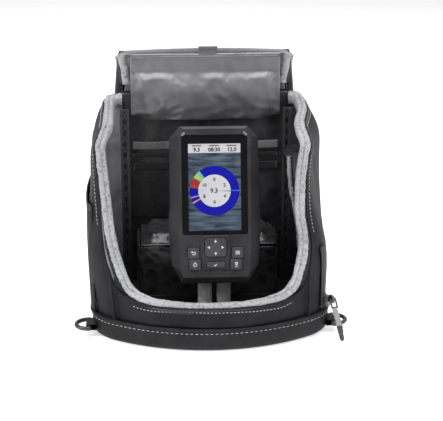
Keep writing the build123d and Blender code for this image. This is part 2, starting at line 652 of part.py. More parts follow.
# ================================================================ display unit, drawn upright with its face on Y = 0
def unit_place():
    """Carries the unit from its own frame to its leaning place on the mount."""
    lean = math.radians(UNIT_TILT)
    back, down = PIVOT_BEHIND_FACE, PIVOT_BELOW_CENTRE
    y = MOUNT_Y - back * math.cos(lean) + down * math.sin(lean)
    z = PIVOT_HEIGHT + back * math.sin(lean) + down * math.cos(lean)
    return Pos(MOUNT_X, y, z) * Rot(-UNIT_TILT, 0, 0)


PLACE = unit_place()
SIDE_NOTCH = (38.5, -5.0)   # heights between which the grip notch runs
NOTCH_DEPTH = 1.6


def case_outline(inset=0.0):
    """The unit's eight-cornered outline; the sides taper a little and the corners are cut off."""
    half, high = UNIT_WIDTH / 2 - inset, UNIT_HEIGHT / 2 - inset
    right = [(half - 2.6, -high + 17.5), (half, -25), (half - 2.0, high - 10.8), (half - 11.5, high)]
    bottom = (half - 12.4, -high)
    outline = [bottom] + right
    return outline + [(-x, z) for x, z in reversed(outline)]


def face_outline():
    half, high = UNIT_WIDTH / 2 - 9.6, UNIT_HEIGHT / 2 - 2.2
    right = [(half - 1.5, -high + 10.0), (half - 0.4, -25), (half, high - 7.5), (half - 5.5, high)]
    bottom = (half - 3.2, -high + 4.4)
    outline = [bottom] + right
    return outline + [(-x, z) for x, z in reversed(outline)]


def face_at(points, y):
    return Plane.XZ.offset(-y) * make_face(loop(points))


def rounded(width, height, radius, x, z, y0, y1):
    """A rounded rectangle in the face, from y0 to y1."""
    solid = block(x - width / 2, x + width / 2, y0, y1, z - height / 2, z + height / 2)
    return fillet(solid.edges().filter_by(Axis.Y), radius)


def side_key_x(row):
    return SIDE_KEY_OFFSET - SIDE_KEY_LEAN * row


KEYS = {
    "arrow_pad": (PAD_SIZE, 0.0, PAD_CENTRE, 3.4, True),
    "enter_key": (ENTER_SIZE, 0.0, ENTER_CENTRE, 1.4, True),
    "back_key": (SIDE_KEY_SIZE, -side_key_x(0), SIDE_KEY_ROWS[0], 1.2, False),
    "power_key": (SIDE_KEY_SIZE, -side_key_x(1), SIDE_KEY_ROWS[1], 1.2, False),
    "menu_key": (SIDE_KEY_SIZE, side_key_x(0), SIDE_KEY_ROWS[0], 1.2, False),
    "mark_key": (SIDE_KEY_SIZE, side_key_x(1), SIDE_KEY_ROWS[1], 1.2, False),
}
MEMBRANE_Y = CASE_WALL + KEY_TRAVEL + 1.4


def island():
    low, high = ISLAND_BOTTOM, ISLAND_TOP
    half, foot = ISLAND_HALF_TOP, ISLAND_HALF_BOTTOM
    outline = [(-foot, low), (foot, low), (half, high - 3), (half - 3, high), (-half + 3, high),
               (-half, high - 3)]
    raised = prism_xz(loop(outline), -ISLAND_PROUD, CASE_WALL)
    return chamfer(raised.faces().sort_by(Axis.Y)[0].edges(), 0.7)


def front_case():
    shell = loft([face_at(case_outline(), BEVEL_DEPTH), face_at(face_outline(), 0)], ruled=True)
    shell += extrude(face_at(case_outline(), BEVEL_DEPTH), amount=-(FRONT_DEPTH - BEVEL_DEPTH))
    top, low = SIDE_NOTCH
    for side in (-1, 1):
        near, far = sorted((side * (UNIT_WIDTH / 2 - NOTCH_DEPTH), side * UNIT_WIDTH))
        shell -= block(near, far, BEVEL_DEPTH - 3, FRONT_DEPTH + 1, low, top)
    hollow = loft([face_at(case_outline(CASE_WALL + NOTCH_DEPTH), BEVEL_DEPTH + 1),
                   face_at([(x * 0.93, z * 0.965) for x, z in face_outline()], CASE_WALL)], ruled=True)
    waist = face_at(case_outline(CASE_WALL + NOTCH_DEPTH), BEVEL_DEPTH + 1)
    hollow += extrude(waist, amount=-(FRONT_DEPTH - BEVEL_DEPTH))
    shell -= hollow
    middle, tall = (LENS_TOP + LENS_BOTTOM) / 2, LENS_TOP - LENS_BOTTOM
    rim = LENS_RECESS + LENS_THICKNESS
    half = LENS_WIDTH / 2 + 2
    ledge = block(-half, half, CASE_WALL - 0.4, rim, LENS_BOTTOM - 2, LENS_TOP + 2)
    shell += ledge
    shell -= rounded(LENS_WIDTH + 0.4, tall + 0.4, 2.2, 0, middle, -1, LENS_RECESS + 0.2)
    shell -= rounded(LENS_WIDTH - 5, tall - 5, 1.2, 0, middle, -1, rim + 1)
    shell += island()
    for size, x, z, radius, _ in KEYS.values():
        wide, tall = size[0] + 2 * KEY_GAP, size[1] + 2 * KEY_GAP
        shell -= rounded(wide, tall, radius + KEY_GAP, x, z, -4, CASE_WALL + 1)
    for side in (-1, 1):
        corner = Pos(side * (UNIT_WIDTH / 2 - 14.6), 0, UNIT_HEIGHT / 2 - 7.0)
        shell -= corner * Rot(0, side * 45, 0) * Box(4.4, 1.2, 2.2)
    return shell


def display_unit():
    keep("front_case", PLACE * front_case())
    inlays = []
    for side in (-1, 1):
        corner = Pos(side * (UNIT_WIDTH / 2 - 14.6), 0.2, UNIT_HEIGHT / 2 - 7.0)
        inlays.append(corner * Rot(0, side * 45, 0) * Box(4.2, 0.7, 2.0))
    keep("corner_inlays", *[PLACE * i for i in inlays])
    middle, tall = (LENS_TOP + LENS_BOTTOM) / 2, LENS_TOP - LENS_BOTTOM
    lens = rounded(LENS_WIDTH, tall, 2.0, 0, middle, LENS_RECESS + 0.2 - LENS_THICKNESS, LENS_RECESS + 0.2)
    keep("lens", PLACE * lens)
    panel_y = LENS_RECESS + LENS_THICKNESS + 0.3
    screen_middle, screen_tall = (SCREEN_TOP + SCREEN_BOTTOM) / 2, SCREEN_TOP - SCREEN_BOTTOM
    panel = rounded(SCREEN_WIDTH + 3, screen_tall + 1, 1.0, 0, screen_middle,
                    LENS_RECESS + 0.3, panel_y + 3.0)
    keep("display_panel", PLACE * panel)
    board_y = panel_y + 4.6
    board = rounded(66, 128, 3.0, 0, 2, board_y, board_y + 1.6)
    chips = block(-12, 10, board_y + 1.6, board_y + 3.4, -30, -10)
    chips += block(-20, -8, board_y + 1.6, board_y + 3.0, 10, 26)
    keep("main_board", PLACE * (board + chips))
    membrane = rounded(60, 32, 2.0, 0, -48.5, MEMBRANE_Y, MEMBRANE_Y + 1.2)
    keep("key_membrane", PLACE * membrane)


def keys():
    """Each key is a cap in its own hole; it travels square into the face."""
    for name, (size, x, z, radius, on_island) in KEYS.items():
        proud = KEY_PROUD + (ISLAND_PROUD if on_island else 0.0)
        cap = rounded(size[0], size[1], radius, x, z, -proud, CASE_WALL + 0.4)
        cap = fillet(cap.faces().sort_by(Axis.Y)[0].edges(), 0.5)
        if name == "arrow_pad":
            dish = Pos(x, -proud - 11.2, z) * Sphere(12.0)
            cap -= dish
        keep(name, PLACE * cap)


def rear_case():
    """The back shell: a closing plate, a deeper box, the socket recess and the tilt lug."""
    y0 = FRONT_DEPTH + GASKET
    y1 = y0 + CASE_WALL
    plate = extrude(face_at(case_outline(), y0), amount=-CASE_WALL)
    low, high, half = -40.0, 62.0, 36.0
    box = block(-half, half, y0, REAR_DEPTH, low, high)
    box = fillet(box.edges().filter_by(Axis.Y), 8.0)
    back_edges = box.faces().sort_by(Axis.Y)[-1].edges()
    box = chamfer(back_edges, 3.0)
    shell = plate + box
    hollow = block(-half + CASE_WALL, half - CASE_WALL, y0 - 1, REAR_DEPTH - CASE_WALL,
                   low + CASE_WALL, high - CASE_WALL)
    shell -= fillet(hollow.edges().filter_by(Axis.Y), 6.0)
    lug_z = -PIVOT_BELOW_CENTRE
    lug = block(-LUG_WIDTH / 2, LUG_WIDTH / 2, PIVOT_BEHIND_FACE - 7, PIVOT_BEHIND_FACE + 7,
                lug_z, low + 0.5)
    lug += tube_along("X", 7.0, LUG_WIDTH, (0, PIVOT_BEHIND_FACE, lug_z))
    shell += lug
    shell -= tube_along("X", TILT_BOLT_RADIUS + RUNNING, LUG_WIDTH + 4, (0, PIVOT_BEHIND_FACE, lug_z))
    shell -= tube_along("Y", 6.2, 20, (0, REAR_DEPTH, 42))
    return shell, y1


def rear_parts():
    shell, plate_y = rear_case()
    spots = [(x, z) for x in (-34.5, 34.5) for z in (-58, 0, 66) if abs(z) > 1] + [(-39.5, 5), (39.5, 5)]
    screws = []
    for x, z in spots[:4]:
        shell -= tube_along("Y", 1.3, 20, (x * 0.82, plate_y, z * 1.0))
        shank = tube_along("Y", 1.2, 5.0, (x * 0.82, plate_y - 2.5, z))
        cap = tube_along("Y", 2.6, 1.4, (x * 0.82, plate_y + 0.7, z))
        screws.append(PLACE * (shank + cap))
    keep("rear_case", PLACE * shell)
    keep("case_screws", *screws)
    ring = extrude(face_at(case_outline(1.0), FRONT_DEPTH), amount=-GASKET)
    ring -= extrude(face_at(case_outline(3.2), FRONT_DEPTH - 1), amount=-3)
    for x, z in spots[:4]:
        ring -= tube_along("Y", 1.5, 20, (x * 0.82, plate_y, z))
    keep("case_gasket", PLACE * ring)
    socket = tube_along("Y", 6.0, 7.0, (0, REAR_DEPTH - 2.7, 42))
    socket -= tube_along("Y", 4.4, 5.0, (0, REAR_DEPTH + 0.3, 42))
    for i in range(4):
        angle = math.radians(45 + 90 * i)
        pin_place = (2.2 * math.cos(angle), REAR_DEPTH - 1.2, 42 + 2.2 * math.sin(angle))
        socket += tube_along("Y", 0.6, 4.0, pin_place)
    keep("power_socket", PLACE * socket)


def main():
    os.makedirs("parts", exist_ok=True)
    bag_panels()
    bag_padding()
    rim_binding()
    opening_zip()
    boot()
    cover()
    curtain()
    pull_tab()
    net_pocket()
    strap_rings()
    side_zip()
    base_tray()
    upright("left_upright", -1)
    upright("right_upright", 1)
    battery()
    back_wall_fittings()
    mount_stand()
    swivel_bracket()
    tilt_clamp()
    display_unit()
    keys()
    rear_parts()


main()
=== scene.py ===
# A portable fish finder kit. A sonar display stands on a tilt and swivel mount inside a padded
# carry bag with its battery behind it, and the bag's front cover is folded back over the rear.

import math
import random

import bmesh
import bpy
import numpy as np
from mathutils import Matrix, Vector, noise
from mathutils.bvhtree import BVHTree


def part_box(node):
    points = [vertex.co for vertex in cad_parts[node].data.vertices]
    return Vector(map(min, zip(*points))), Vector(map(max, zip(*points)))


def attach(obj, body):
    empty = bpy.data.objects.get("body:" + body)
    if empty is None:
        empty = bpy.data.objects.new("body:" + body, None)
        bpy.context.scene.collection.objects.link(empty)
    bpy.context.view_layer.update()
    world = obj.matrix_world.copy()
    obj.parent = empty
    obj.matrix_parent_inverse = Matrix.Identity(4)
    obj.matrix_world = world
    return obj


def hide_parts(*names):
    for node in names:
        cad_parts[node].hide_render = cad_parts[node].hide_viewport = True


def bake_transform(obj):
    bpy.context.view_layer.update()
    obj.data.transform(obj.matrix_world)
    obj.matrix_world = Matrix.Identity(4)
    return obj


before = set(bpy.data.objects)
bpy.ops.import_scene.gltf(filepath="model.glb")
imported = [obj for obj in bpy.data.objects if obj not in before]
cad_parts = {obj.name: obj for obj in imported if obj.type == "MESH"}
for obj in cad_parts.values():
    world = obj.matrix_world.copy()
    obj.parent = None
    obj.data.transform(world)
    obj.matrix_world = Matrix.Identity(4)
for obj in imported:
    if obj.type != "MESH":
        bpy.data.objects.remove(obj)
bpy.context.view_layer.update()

# ------------------------------------------------------------------ studio
# A white sweep with soft boxes at the left, right, top and rear. The camera stands a little to
# the left of the bag and looks down on it, far enough away that its sides stay nearly parallel.
VIEW_AZIMUTH, VIEW_ELEVATION = math.radians(-3.0), math.radians(18.0)
VIEW_DISTANCE = 1.4
LENS_LENGTH = 117.184
VIEW_TARGET = Vector((0.0117, -0.010, 0.112))

scene = bpy.context.scene
scene.view_settings.view_transform = "Standard"

camera = bpy.data.objects.new("camera", bpy.data.cameras.new("camera"))
scene.collection.objects.link(camera)
camera.data.sensor_width = 36.0
camera.data.lens = LENS_LENGTH
camera.data.clip_start, camera.data.clip_end = 0.05, 20.0
toward_camera = Vector(
    (
        math.sin(VIEW_AZIMUTH) * math.cos(VIEW_ELEVATION),
        -math.cos(VIEW_AZIMUTH) * math.cos(VIEW_ELEVATION),
        math.sin(VIEW_ELEVATION),
    )
)
camera.location = VIEW_TARGET + toward_camera * VIEW_DISTANCE
camera.rotation_mode = "QUATERNION"
camera.rotation_quaternion = (-toward_camera).to_track_quat("-Z", "Y")
scene.camera = camera


def soft_box(name, place, aim, width, height, power):
    """A rectangular studio light that faces the point it is aimed at."""
    data = bpy.data.lights.new(name, "AREA")
    data.shape, data.size, data.size_y, data.energy = "RECTANGLE", width, height, power
    lamp = bpy.data.objects.new(name, data)
    scene.collection.objects.link(lamp)
    lamp.location = place
    lamp.rotation_mode = "QUATERNION"
    lamp.rotation_quaternion = (Vector(aim) - Vector(place)).to_track_quat("-Z", "Y")


soft_box("light_left", (-1.1, -0.5, 0.9), (0, 0, 0.12), 0.5, 0.9, 13.0)
soft_box("light_right", (1.1, -0.5, 0.7), (0, 0, 0.12), 0.5, 0.9, 8.0)
soft_box("light_top", (0.0, -0.25, 1.5), (0, 0, 0.1), 0.9, 0.7, 14.0)
soft_box("light_rear", (0.2, 1.2, 1.0), (0, 0, 0.15), 1.2, 0.6, 7.0)

world = bpy.data.worlds.new("studio")
scene.world = world
world.use_nodes = True
world.node_tree.nodes["Background"].inputs["Color"].default_value = (1.0, 1.0, 1.0, 1.0)
world.node_tree.nodes["Background"].inputs["Strength"].default_value = 0.22

floor_mesh = bpy.data.meshes.new("floor")
floor_mesh.from_pydata([(-6, -6, 0), (6, -6, 0), (6, 6, 0), (-6, 6, 0)], [], [(0, 1, 2, 3)])
floor = bpy.data.objects.new("floor", floor_mesh)
scene.collection.objects.link(floor)
floor_paint = bpy.data.materials.new("floor_paint")
floor_paint.use_nodes = True
floor_shader = floor_paint.node_tree.nodes["Principled BSDF"]
floor_shader.inputs["Base Color"].default_value = (0.95, 0.95, 0.95, 1)
floor_shader.inputs["Roughness"].default_value = 0.9
floor_shader.inputs["Specular IOR Level"].default_value = 0.1
floor_shader.inputs["Emission Color"].default_value = (1, 1, 1, 1)
floor_shader.inputs["Emission Strength"].default_value = 0.56
floor_mesh.materials.append(floor_paint)

# ------------------------------------------------------------------ outer cloth
# Four panels of coated nylon over thin stiffener, sewn together at upright seams and to the
# boot below. The cloth puffs a little between its seams and creases where the walls turn.


def node_group(name, inputs, outputs):
    """An empty shader node group with float or colour sockets, and its two end nodes."""
    group = bpy.data.node_groups.new(name, "ShaderNodeTree")
    for label, kind, value in inputs:
        socket = group.interface.new_socket(label, in_out="INPUT", socket_type=kind)
        socket.default_value = value
    for label, kind in outputs:
        group.interface.new_socket(label, in_out="OUTPUT", socket_type=kind)
    return group, group.nodes.new("NodeGroupInput"), group.nodes.new("NodeGroupOutput")


def add_math(tree, operation, first, second=None):
    """One Math node; each operand is a number or an output socket."""
    node = tree.nodes.new("ShaderNodeMath")
    node.operation = operation
    for index, operand in enumerate((first, second)):
        if operand is None:
            continue
        if isinstance(operand, (int, float)):
            node.inputs[index].default_value = operand
        else:
            tree.links.new(operand, node.inputs[index])
    return node.outputs[0]


def build_weave():
    """Plain over-and-under weave, laid on whichever of the three planes the surface faces."""
    group, ends, out = node_group(
        "weave", [("Pitch", "NodeSocketFloat", 0.001)], [("Height", "NodeSocketFloat")]
    )
    coords = group.nodes.new("ShaderNodeTexCoord")
    place, facing = group.nodes.new("ShaderNodeSeparateXYZ"), group.nodes.new("ShaderNodeSeparateXYZ")
    group.links.new(coords.outputs["Object"], place.inputs[0])
    group.links.new(coords.outputs["Normal"], facing.inputs[0])
    turns = add_math(group, "DIVIDE", math.pi, ends.outputs["Pitch"])
    waves = [add_math(group, "SINE", add_math(group, "MULTIPLY", place.outputs[a], turns)) for a in range(3)]
    total = None
    for axis in range(3):
        first, second = [waves[a] for a in range(3) if a != axis]
        share = add_math(group, "POWER", add_math(group, "ABSOLUTE", facing.outputs[axis]), 3.0)
        part = add_math(group, "MULTIPLY", add_math(group, "MULTIPLY", first, second), share)
        total = part if total is None else add_math(group, "ADD", total, part)
    group.links.new(add_math(group, "MULTIPLY_ADD", total, 0.5), out.inputs["Height"])
    return group


def build_crinkle():
    """Fine sharp creases, as coated cloth keeps after it has been crushed."""
    group, ends, out = node_group(
        "crinkle",
        [("Size", "NodeSocketFloat", 0.01), ("Bend", "NodeSocketFloat", 1.0)],
        [("Height", "NodeSocketFloat"), ("Crease", "NodeSocketFloat")],
    )
    coords = group.nodes.new("ShaderNodeTexCoord")
    scale = add_math(group, "DIVIDE", 1.0, ends.outputs["Size"])
    wander = group.nodes.new("ShaderNodeTexNoise")
    wander.inputs["Detail"].default_value = 3.0
    group.links.new(coords.outputs["Object"], wander.inputs["Vector"])
    group.links.new(scale, wander.inputs["Scale"])
    mixed = group.nodes.new("ShaderNodeVectorMath")
    mixed.operation = "MULTIPLY_ADD"
    group.links.new(wander.outputs["Color"], mixed.inputs[0])
    stretch = group.nodes.new("ShaderNodeCombineXYZ")
    amount = add_math(group, "MULTIPLY", ends.outputs["Size"], ends.outputs["Bend"])
    for index in range(3):
        group.links.new(amount, stretch.inputs[index])
    group.links.new(stretch.outputs[0], mixed.inputs[1])
    group.links.new(coords.outputs["Object"], mixed.inputs[2])
    cells = group.nodes.new("ShaderNodeTexVoronoi")
    cells.feature = "DISTANCE_TO_EDGE"
    group.links.new(mixed.outputs[0], cells.inputs["Vector"])
    group.links.new(scale, cells.inputs["Scale"])
    near = add_math(group, "MINIMUM", add_math(group, "MULTIPLY", cells.outputs["Distance"], 3.0), 1.0)
    close_up, broad = add_math(group, "MULTIPLY", near, 0.6), add_math(group, "MULTIPLY", wander.outputs[0],
            0.6)
    height = add_math(group, "ADD", close_up, broad)
    group.links.new(height, out.inputs["Height"])
    group.links.new(add_math(group, "SUBTRACT", 1.0, near), out.inputs["Crease"])
    return group


def build_mottle():
    """Slow uneven lightening over a surface, from handling and dust."""
    group, ends, out = node_group(
        "mottle", [("Size", "NodeSocketFloat", 0.05)], [("Amount", "NodeSocketFloat")]
    )
    coords = group.nodes.new("ShaderNodeTexCoord")
    cloud = group.nodes.new("ShaderNodeTexNoise")
    cloud.inputs["Detail"].default_value = 4.0
    cloud.inputs["Roughness"].default_value = 0.6
    group.links.new(coords.outputs["Object"], cloud.inputs["Vector"])
    group.links.new(add_math(group, "DIVIDE", 1.0, ends.outputs["Size"]), cloud.inputs["Scale"])
    group.links.new(cloud.outputs[0], out.inputs["Amount"])
    return group


WEAVE, CRINKLE, MOTTLE = build_weave(), build_crinkle(), build_mottle()


def place_group(tree, group, **values):
    """A node group in a material, with its inputs set."""
    node = tree.nodes.new("ShaderNodeGroup")
    node.node_tree = group
    for label, value in values.items():
        node.inputs[label].default_value = value
    return node


def cloth(name, dark, light, rough=0.75, thread=0.0009, weave=0.25, crease=0.012, creasing=0.4,
          sheen=0.15, gloss=0.3):
    """A woven or coated cloth: colour runs between dark and light with its creases and wear."""
    made = bpy.data.materials.new(name)
    made.use_nodes = True
    tree = made.node_tree
    shader = tree.nodes["Principled BSDF"]
    shader.inputs["Specular IOR Level"].default_value = gloss
    shader.inputs["Sheen Weight"].default_value = sheen
    shader.inputs["Sheen Roughness"].default_value = 0.5
    threads = place_group(tree, WEAVE, Pitch=thread)
    folds = place_group(tree, CRINKLE, Size=crease, Bend=1.0)
    cloud = place_group(tree, MOTTLE, Size=0.045)
    wear = add_math(tree, "MULTIPLY", cloud.outputs[0], 0.7)
    tone = add_math(tree, "ADD", wear, add_math(tree, "MULTIPLY", folds.outputs["Crease"], creasing))
    tone = add_math(tree, "ADD", tone, add_math(tree, "MULTIPLY", threads.outputs[0], weave * 0.6))
    ramp = tree.nodes.new("ShaderNodeValToRGB")
    ramp.color_ramp.elements[0].position, ramp.color_ramp.elements[1].position = 0.25, 0.95
    ramp.color_ramp.elements[0].color = (*dark, 1)
    ramp.color_ramp.elements[1].color = (*light, 1)
    tree.links.new(tone, ramp.inputs[0])
    tree.links.new(ramp.outputs[0], shader.inputs["Base Color"])
    polish = add_math(tree, "MULTIPLY_ADD", cloud.outputs[0], 0.2)
    polish.node.inputs[2].default_value = rough - 0.1
    tree.links.new(polish, shader.inputs["Roughness"])
    woven = add_math(tree, "MULTIPLY", threads.outputs[0], weave)
    height = add_math(tree, "ADD", woven,
                      add_math(tree, "MULTIPLY", folds.outputs["Height"], creasing * 2.0))
    bump = tree.nodes.new("ShaderNodeBump")
    bump.inputs["Strength"].default_value = 0.6
    bump.inputs["Distance"].default_value = 0.0006
    tree.links.new(height, bump.inputs["Height"])
    tree.links.new(bump.outputs[0], shader.inputs["Normal"])
    return made


BOW_CENTRE, BOW_RADIUS = 70.0, 165.0
CORNER = (69.0, 70.0 - math.sqrt(120.0**2 - 69.0**2))
CORNER_RADIUS, BACK_RADIUS = 45.0, 30.0
HALF_WIDTH, BACK_Y = 114.0, 93.0
SHOULDER, SHOULDER_RISE, SHOULDER_LEAN, SHOULDER_LEAN_RIGHT = 165.0, 50.0, 29.0, 36.0


def step_up(share):
    """A smooth step from 0 to 1."""
    share = np.clip(share, 0, 1)
    return share * share * (3 - 2 * share)


def wall(station, height, inset):
    """Points of the bag's wall in metres. Stations count round each side from the front's middle:
    0 to 1 the bowed front, to 2 the front corner, to 3 the flank, to 4 the back corner, to 5 the
    middle of the back. Left stations are negative. Height and inset are in millimetres. The slack
    front corners slump, the right one inwards and the left one outwards."""
    s, z, i = np.broadcast_arrays(*[np.asarray(v, float) for v in (station, height, inset)])
    t = np.abs(s)
    turn = math.atan2(CORNER[1] - BOW_CENTRE, CORNER[0])
    bow = -math.pi / 2 + (turn + math.pi / 2) * t
    corner = turn * (2 - t)
    rear = math.pi / 2 * (t - 3)
    x = np.select(
        [t < 1, t < 2, t < 3, t < 4],
        [
            (BOW_RADIUS - i) * np.cos(bow),
            CORNER[0] + (CORNER_RADIUS - i) * np.cos(corner),
            HALF_WIDTH - i,
            HALF_WIDTH - BACK_RADIUS + (BACK_RADIUS - i) * np.cos(rear),
        ],
        (HALF_WIDTH - BACK_RADIUS) * (5 - t),
    )
    y = np.select(
        [t < 1, t < 2, t < 3, t < 4],
        [
            BOW_CENTRE + (BOW_RADIUS - i) * np.sin(bow),
            CORNER[1] + (CORNER_RADIUS - i) * np.sin(corner),
            CORNER[1] + (BACK_Y - BACK_RADIUS - CORNER[1]) * (t - 2),
            BACK_Y - BACK_RADIUS + (BACK_RADIUS - i) * np.sin(rear),
        ],
        BACK_Y - i,
    )
    up = np.clip((z - SHOULDER) / SHOULDER_RISE, 0, 1)
    lean = np.where(s > 0, SHOULDER_LEAN_RIGHT, SHOULDER_LEAN)
    x = np.minimum(x, HALF_WIDTH - i - lean * (1 - np.sqrt(1 - up**2)))
    near_front = step_up((t - 0.55) / 0.6) * (1 - step_up((t - 1.8) / 1.0))
    slump = np.where(s > 0, 16.0 * np.exp(-(((z - 160) / 70) ** 2)), -5.0 * np.exp(-(((z - 80) / 40) ** 2)))
    slump = slump * np.where(s > 0, step_up((z - 65) / 60), 1.0)
    x = x - slump * near_front
    return np.stack([np.where(s < 0, -x, x), y, z], -1) * 0.001


def lengths_along(line):
    """How far along a line of points each one lies, in millimetres."""
    return np.concatenate([[0], np.cumsum(np.linalg.norm(np.diff(line, axis=0), axis=1))]) * 1000


def even_stations(start, end, spacing, height=100.0):
    """Stations about that many millimetres apart along the wall."""
    fine = np.linspace(start, end, 3000)
    run = lengths_along(wall(fine, height, 0))
    return np.interp(np.linspace(0, run[-1], max(2, int(run[-1] / spacing) + 1)), run, fine)


RIM_FRONT, RIM_BACK = 43.0, 203.0


def rim_height(y, up=0.0, forward=0.0):
    """Height of the opening's edge at depth y, in millimetres, or of a line beside that edge."""
    slope, low, high = math.radians(80.0), 20.0, 26.0
    start = -85.0 - forward
    straight = (RIM_BACK - RIM_FRONT - (low + high) * (1 - math.cos(slope))) / math.sin(slope)
    end = start + (low + high) * math.sin(slope) + straight * math.cos(slope)
    lower = RIM_FRONT + low + up
    upper = RIM_BACK - high + up
    bend, crest = start + low * math.sin(slope), end - high * math.sin(slope)
    line = lower - low * math.cos(slope) + (y - bend) * math.tan(slope)
    return np.select(
        [y < start, y < bend, y < crest, y < end],
        [
            np.full_like(y, RIM_FRONT + up),
            lower - np.sqrt(np.maximum(low**2 - (y - start) ** 2, 0)),
            line,
            upper + np.sqrt(np.maximum(high**2 - (end - y) ** 2, 0)),
        ],
        RIM_BACK + up,
    )


def ripple(points, size, seed, stretch=(1, 1, 1)):
    """Smooth unevenness at each point, between about -1 and 1; size in metres."""
    shift = Vector((seed * 7.31, seed * 3.17, seed * 5.53))
    flat = points.reshape(-1, 3) / (size * np.array(stretch))
    return np.array([noise.noise(Vector(p) + shift) for p in flat]).reshape(points.shape[:-1])


def creases(points, size, seed, stretch=(1, 1, 1)):
    """Narrow ridges with wide valleys, the way slack cloth folds."""
    return 1 - 2 * np.abs(ripple(points, size, seed, stretch)) ** 0.7


def new_piece(name, verts, faces, material, smooth=True):
    """A mesh object in the scene. Material may be one or several."""
    mesh = bpy.data.meshes.new(name)
    mesh.from_pydata([tuple(v) for v in np.asarray(verts).reshape(-1, 3)], [], faces)
    for paint in material if isinstance(material, (list, tuple)) else [material]:
        mesh.materials.append(paint)
    if smooth:
        mesh.polygons.foreach_set("use_smooth", [True] * len(mesh.polygons))
    made = bpy.data.objects.new(name, mesh)
    scene.collection.objects.link(made)
    fix = bmesh.new()
    fix.from_mesh(mesh)
    bmesh.ops.recalc_face_normals(fix, faces=fix.faces)
    fix.to_mesh(mesh)
    fix.free()
    return made


def slab(name, outer, inner, material, inner_material=None):
    """A closed piece between two grids of points that share rows and columns."""
    rows, columns = outer.shape[:2]
    count = rows * columns
    faces, kinds = [], []

    def at(r, c, back=0):
        return r * columns + c + back * count

    for r in range(rows - 1):
        for c in range(columns - 1):
            faces.append((at(r, c), at(r + 1, c), at(r + 1, c + 1), at(r, c + 1)))
            faces.append((at(r, c, 1), at(r, c + 1, 1), at(r + 1, c + 1, 1), at(r + 1, c, 1)))
            kinds += [0, 1]
    border = [(r, 0) for r in range(rows)] + [(rows - 1, c) for c in range(1, columns)]
    border += [(r, columns - 1) for r in range(rows - 2, -1, -1)] + [(0, c) for c in range(columns - 2, 0,
            -1)]
    for first, second in zip(border, border[1:] + border[:1]):
        faces.append((at(*first), at(*second), at(*second, 1), at(*first, 1)))
        kinds.append(0)
    made = new_piece(name, np.concatenate([outer.reshape(-1, 3), inner.reshape(-1, 3)]), faces,
                     [material] + ([inner_material] if inner_material else []))
    if inner_material:
        made.data.polygons.foreach_set("material_index", kinds)
    return made


def fade(share, width):
    """0 at both ends of a 0 to 1 run and 1 away from them."""
    edge = np.clip(np.minimum(share, 1 - share) / width, 0, 1)
    return edge * edge * (3 - 2 * edge)


def wall_panel(name, start, end, bottom, top, outside, inside, material, puff=1.2, folds=1.0,
               fold_size=0.03, seed=1, spacing=2.0, face_in=False):
    """One sewn panel of the wall. Puff and folds, in millimetres, raise its showing side."""
    stations = even_stations(start, end, spacing)
    base = wall(stations, 100.0, outside)
    tops = top(base[:, 1] * 1000)
    rows = max(8, int((tops.max() - bottom) / spacing))
    up = np.linspace(0, 1, rows)[:, None]
    heights = bottom + (tops[None, :] - bottom) * up
    grid = np.broadcast_to(stations, heights.shape)
    outer, inner = wall(grid, heights, outside), wall(grid, heights, inside)
    showing = inner if face_in else outer
    around = np.linspace(0, 1, len(stations))[None, :]
    middle = fade(around, 0.18) * fade(up, 0.16)
    lift = puff * (middle - 0.35) + folds * middle * (
        0.9 * creases(showing, fold_size, seed, (1, 1, 2.2)) * 0.6 + 0.7 * ripple(showing, fold_size * 2.2,
                seed + 9)
    )
    away = wall(grid, heights, outside) - wall(grid, heights, outside + 2.0)
    away /= np.maximum(np.linalg.norm(away, axis=-1, keepdims=True), 1e-9)
    showing += away * lift[..., None] * 0.001 * (-1 if face_in else 1)
    return slab(name, outer, inner, material)


outer_cloth = cloth("outer_cloth", (0.006, 0.006, 0.007), (0.026, 0.026, 0.029), rough=0.6, weave=0.3,
                    crease=0.03, creasing=0.15, sheen=0.0, gloss=0.14)
PANELS = {
    "front_panel": (-0.966, 0.966, 1.6, 11),
    "left_side_panel": (-4.0, -0.966, 1.4, 23),
    "right_side_panel": (0.966, 4.0, 1.4, 31),
}
shell_panels = []
for panel, (start, end, puff, seed) in PANELS.items():
    sewn = wall_panel(panel + "_cloth", start, end, 21.0, lambda y: rim_height(y) - 0.3, 2.4, 4.2,
                      outer_cloth,
                      puff=puff, folds=2.0, fold_size=0.034, seed=seed)
    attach(sewn, "bag")
    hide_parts(panel)
    shell_panels.append(sewn)
rear = wall_panel("back_panel_cloth", 4.0, 5.0, 21.0, lambda y: np.full_like(y, 209.0), 2.0, 4.2,
                   outer_cloth, puff=0.8, folds=1.2, seed=5)
rear_left = wall_panel("back_left", -4.0, -5.0, 21.0, lambda y: np.full_like(y, 209.0), 2.0, 4.2,
                   outer_cloth, puff=0.8, folds=1.2, seed=5)
with bpy.context.temp_override(active_object=rear, selected_editable_objects=[rear, rear_left]):
    bpy.ops.object.join()
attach(rear, "bag")
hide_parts("back_panel")

# ------------------------------------------------------------------ padded lining
# Foam padding behind a slick coated lining, one pad on each wall inside the shell. The lining is
# tacked along the edges only, so it swells between them and keeps soft diagonal creases.
# The left pad's lining is a lighter copy of the dark lining: painted light, as if the lamps lit the wall
# that faces them. The right and front pads keep the dark lining.
left_lining_painted_light = cloth("left_lining_painted_light", (0.15, 0.15, 0.163), (0.34, 0.34, 0.362), rough=0.42, thread=0.0006,
                    weave=0.08, crease=0.022, creasing=0.35, sheen=0.1, gloss=0.5)
dark_lining = cloth("dark_lining", (0.012, 0.012, 0.014), (0.05, 0.05, 0.056), rough=0.38, thread=0.0006,
                    weave=0.08, crease=0.016, creasing=0.35, sheen=0.0, gloss=0.35)


def below_rim(depth):
    """The height a few millimetres under the opening's edge."""
    return rim_height(depth) - 5.0


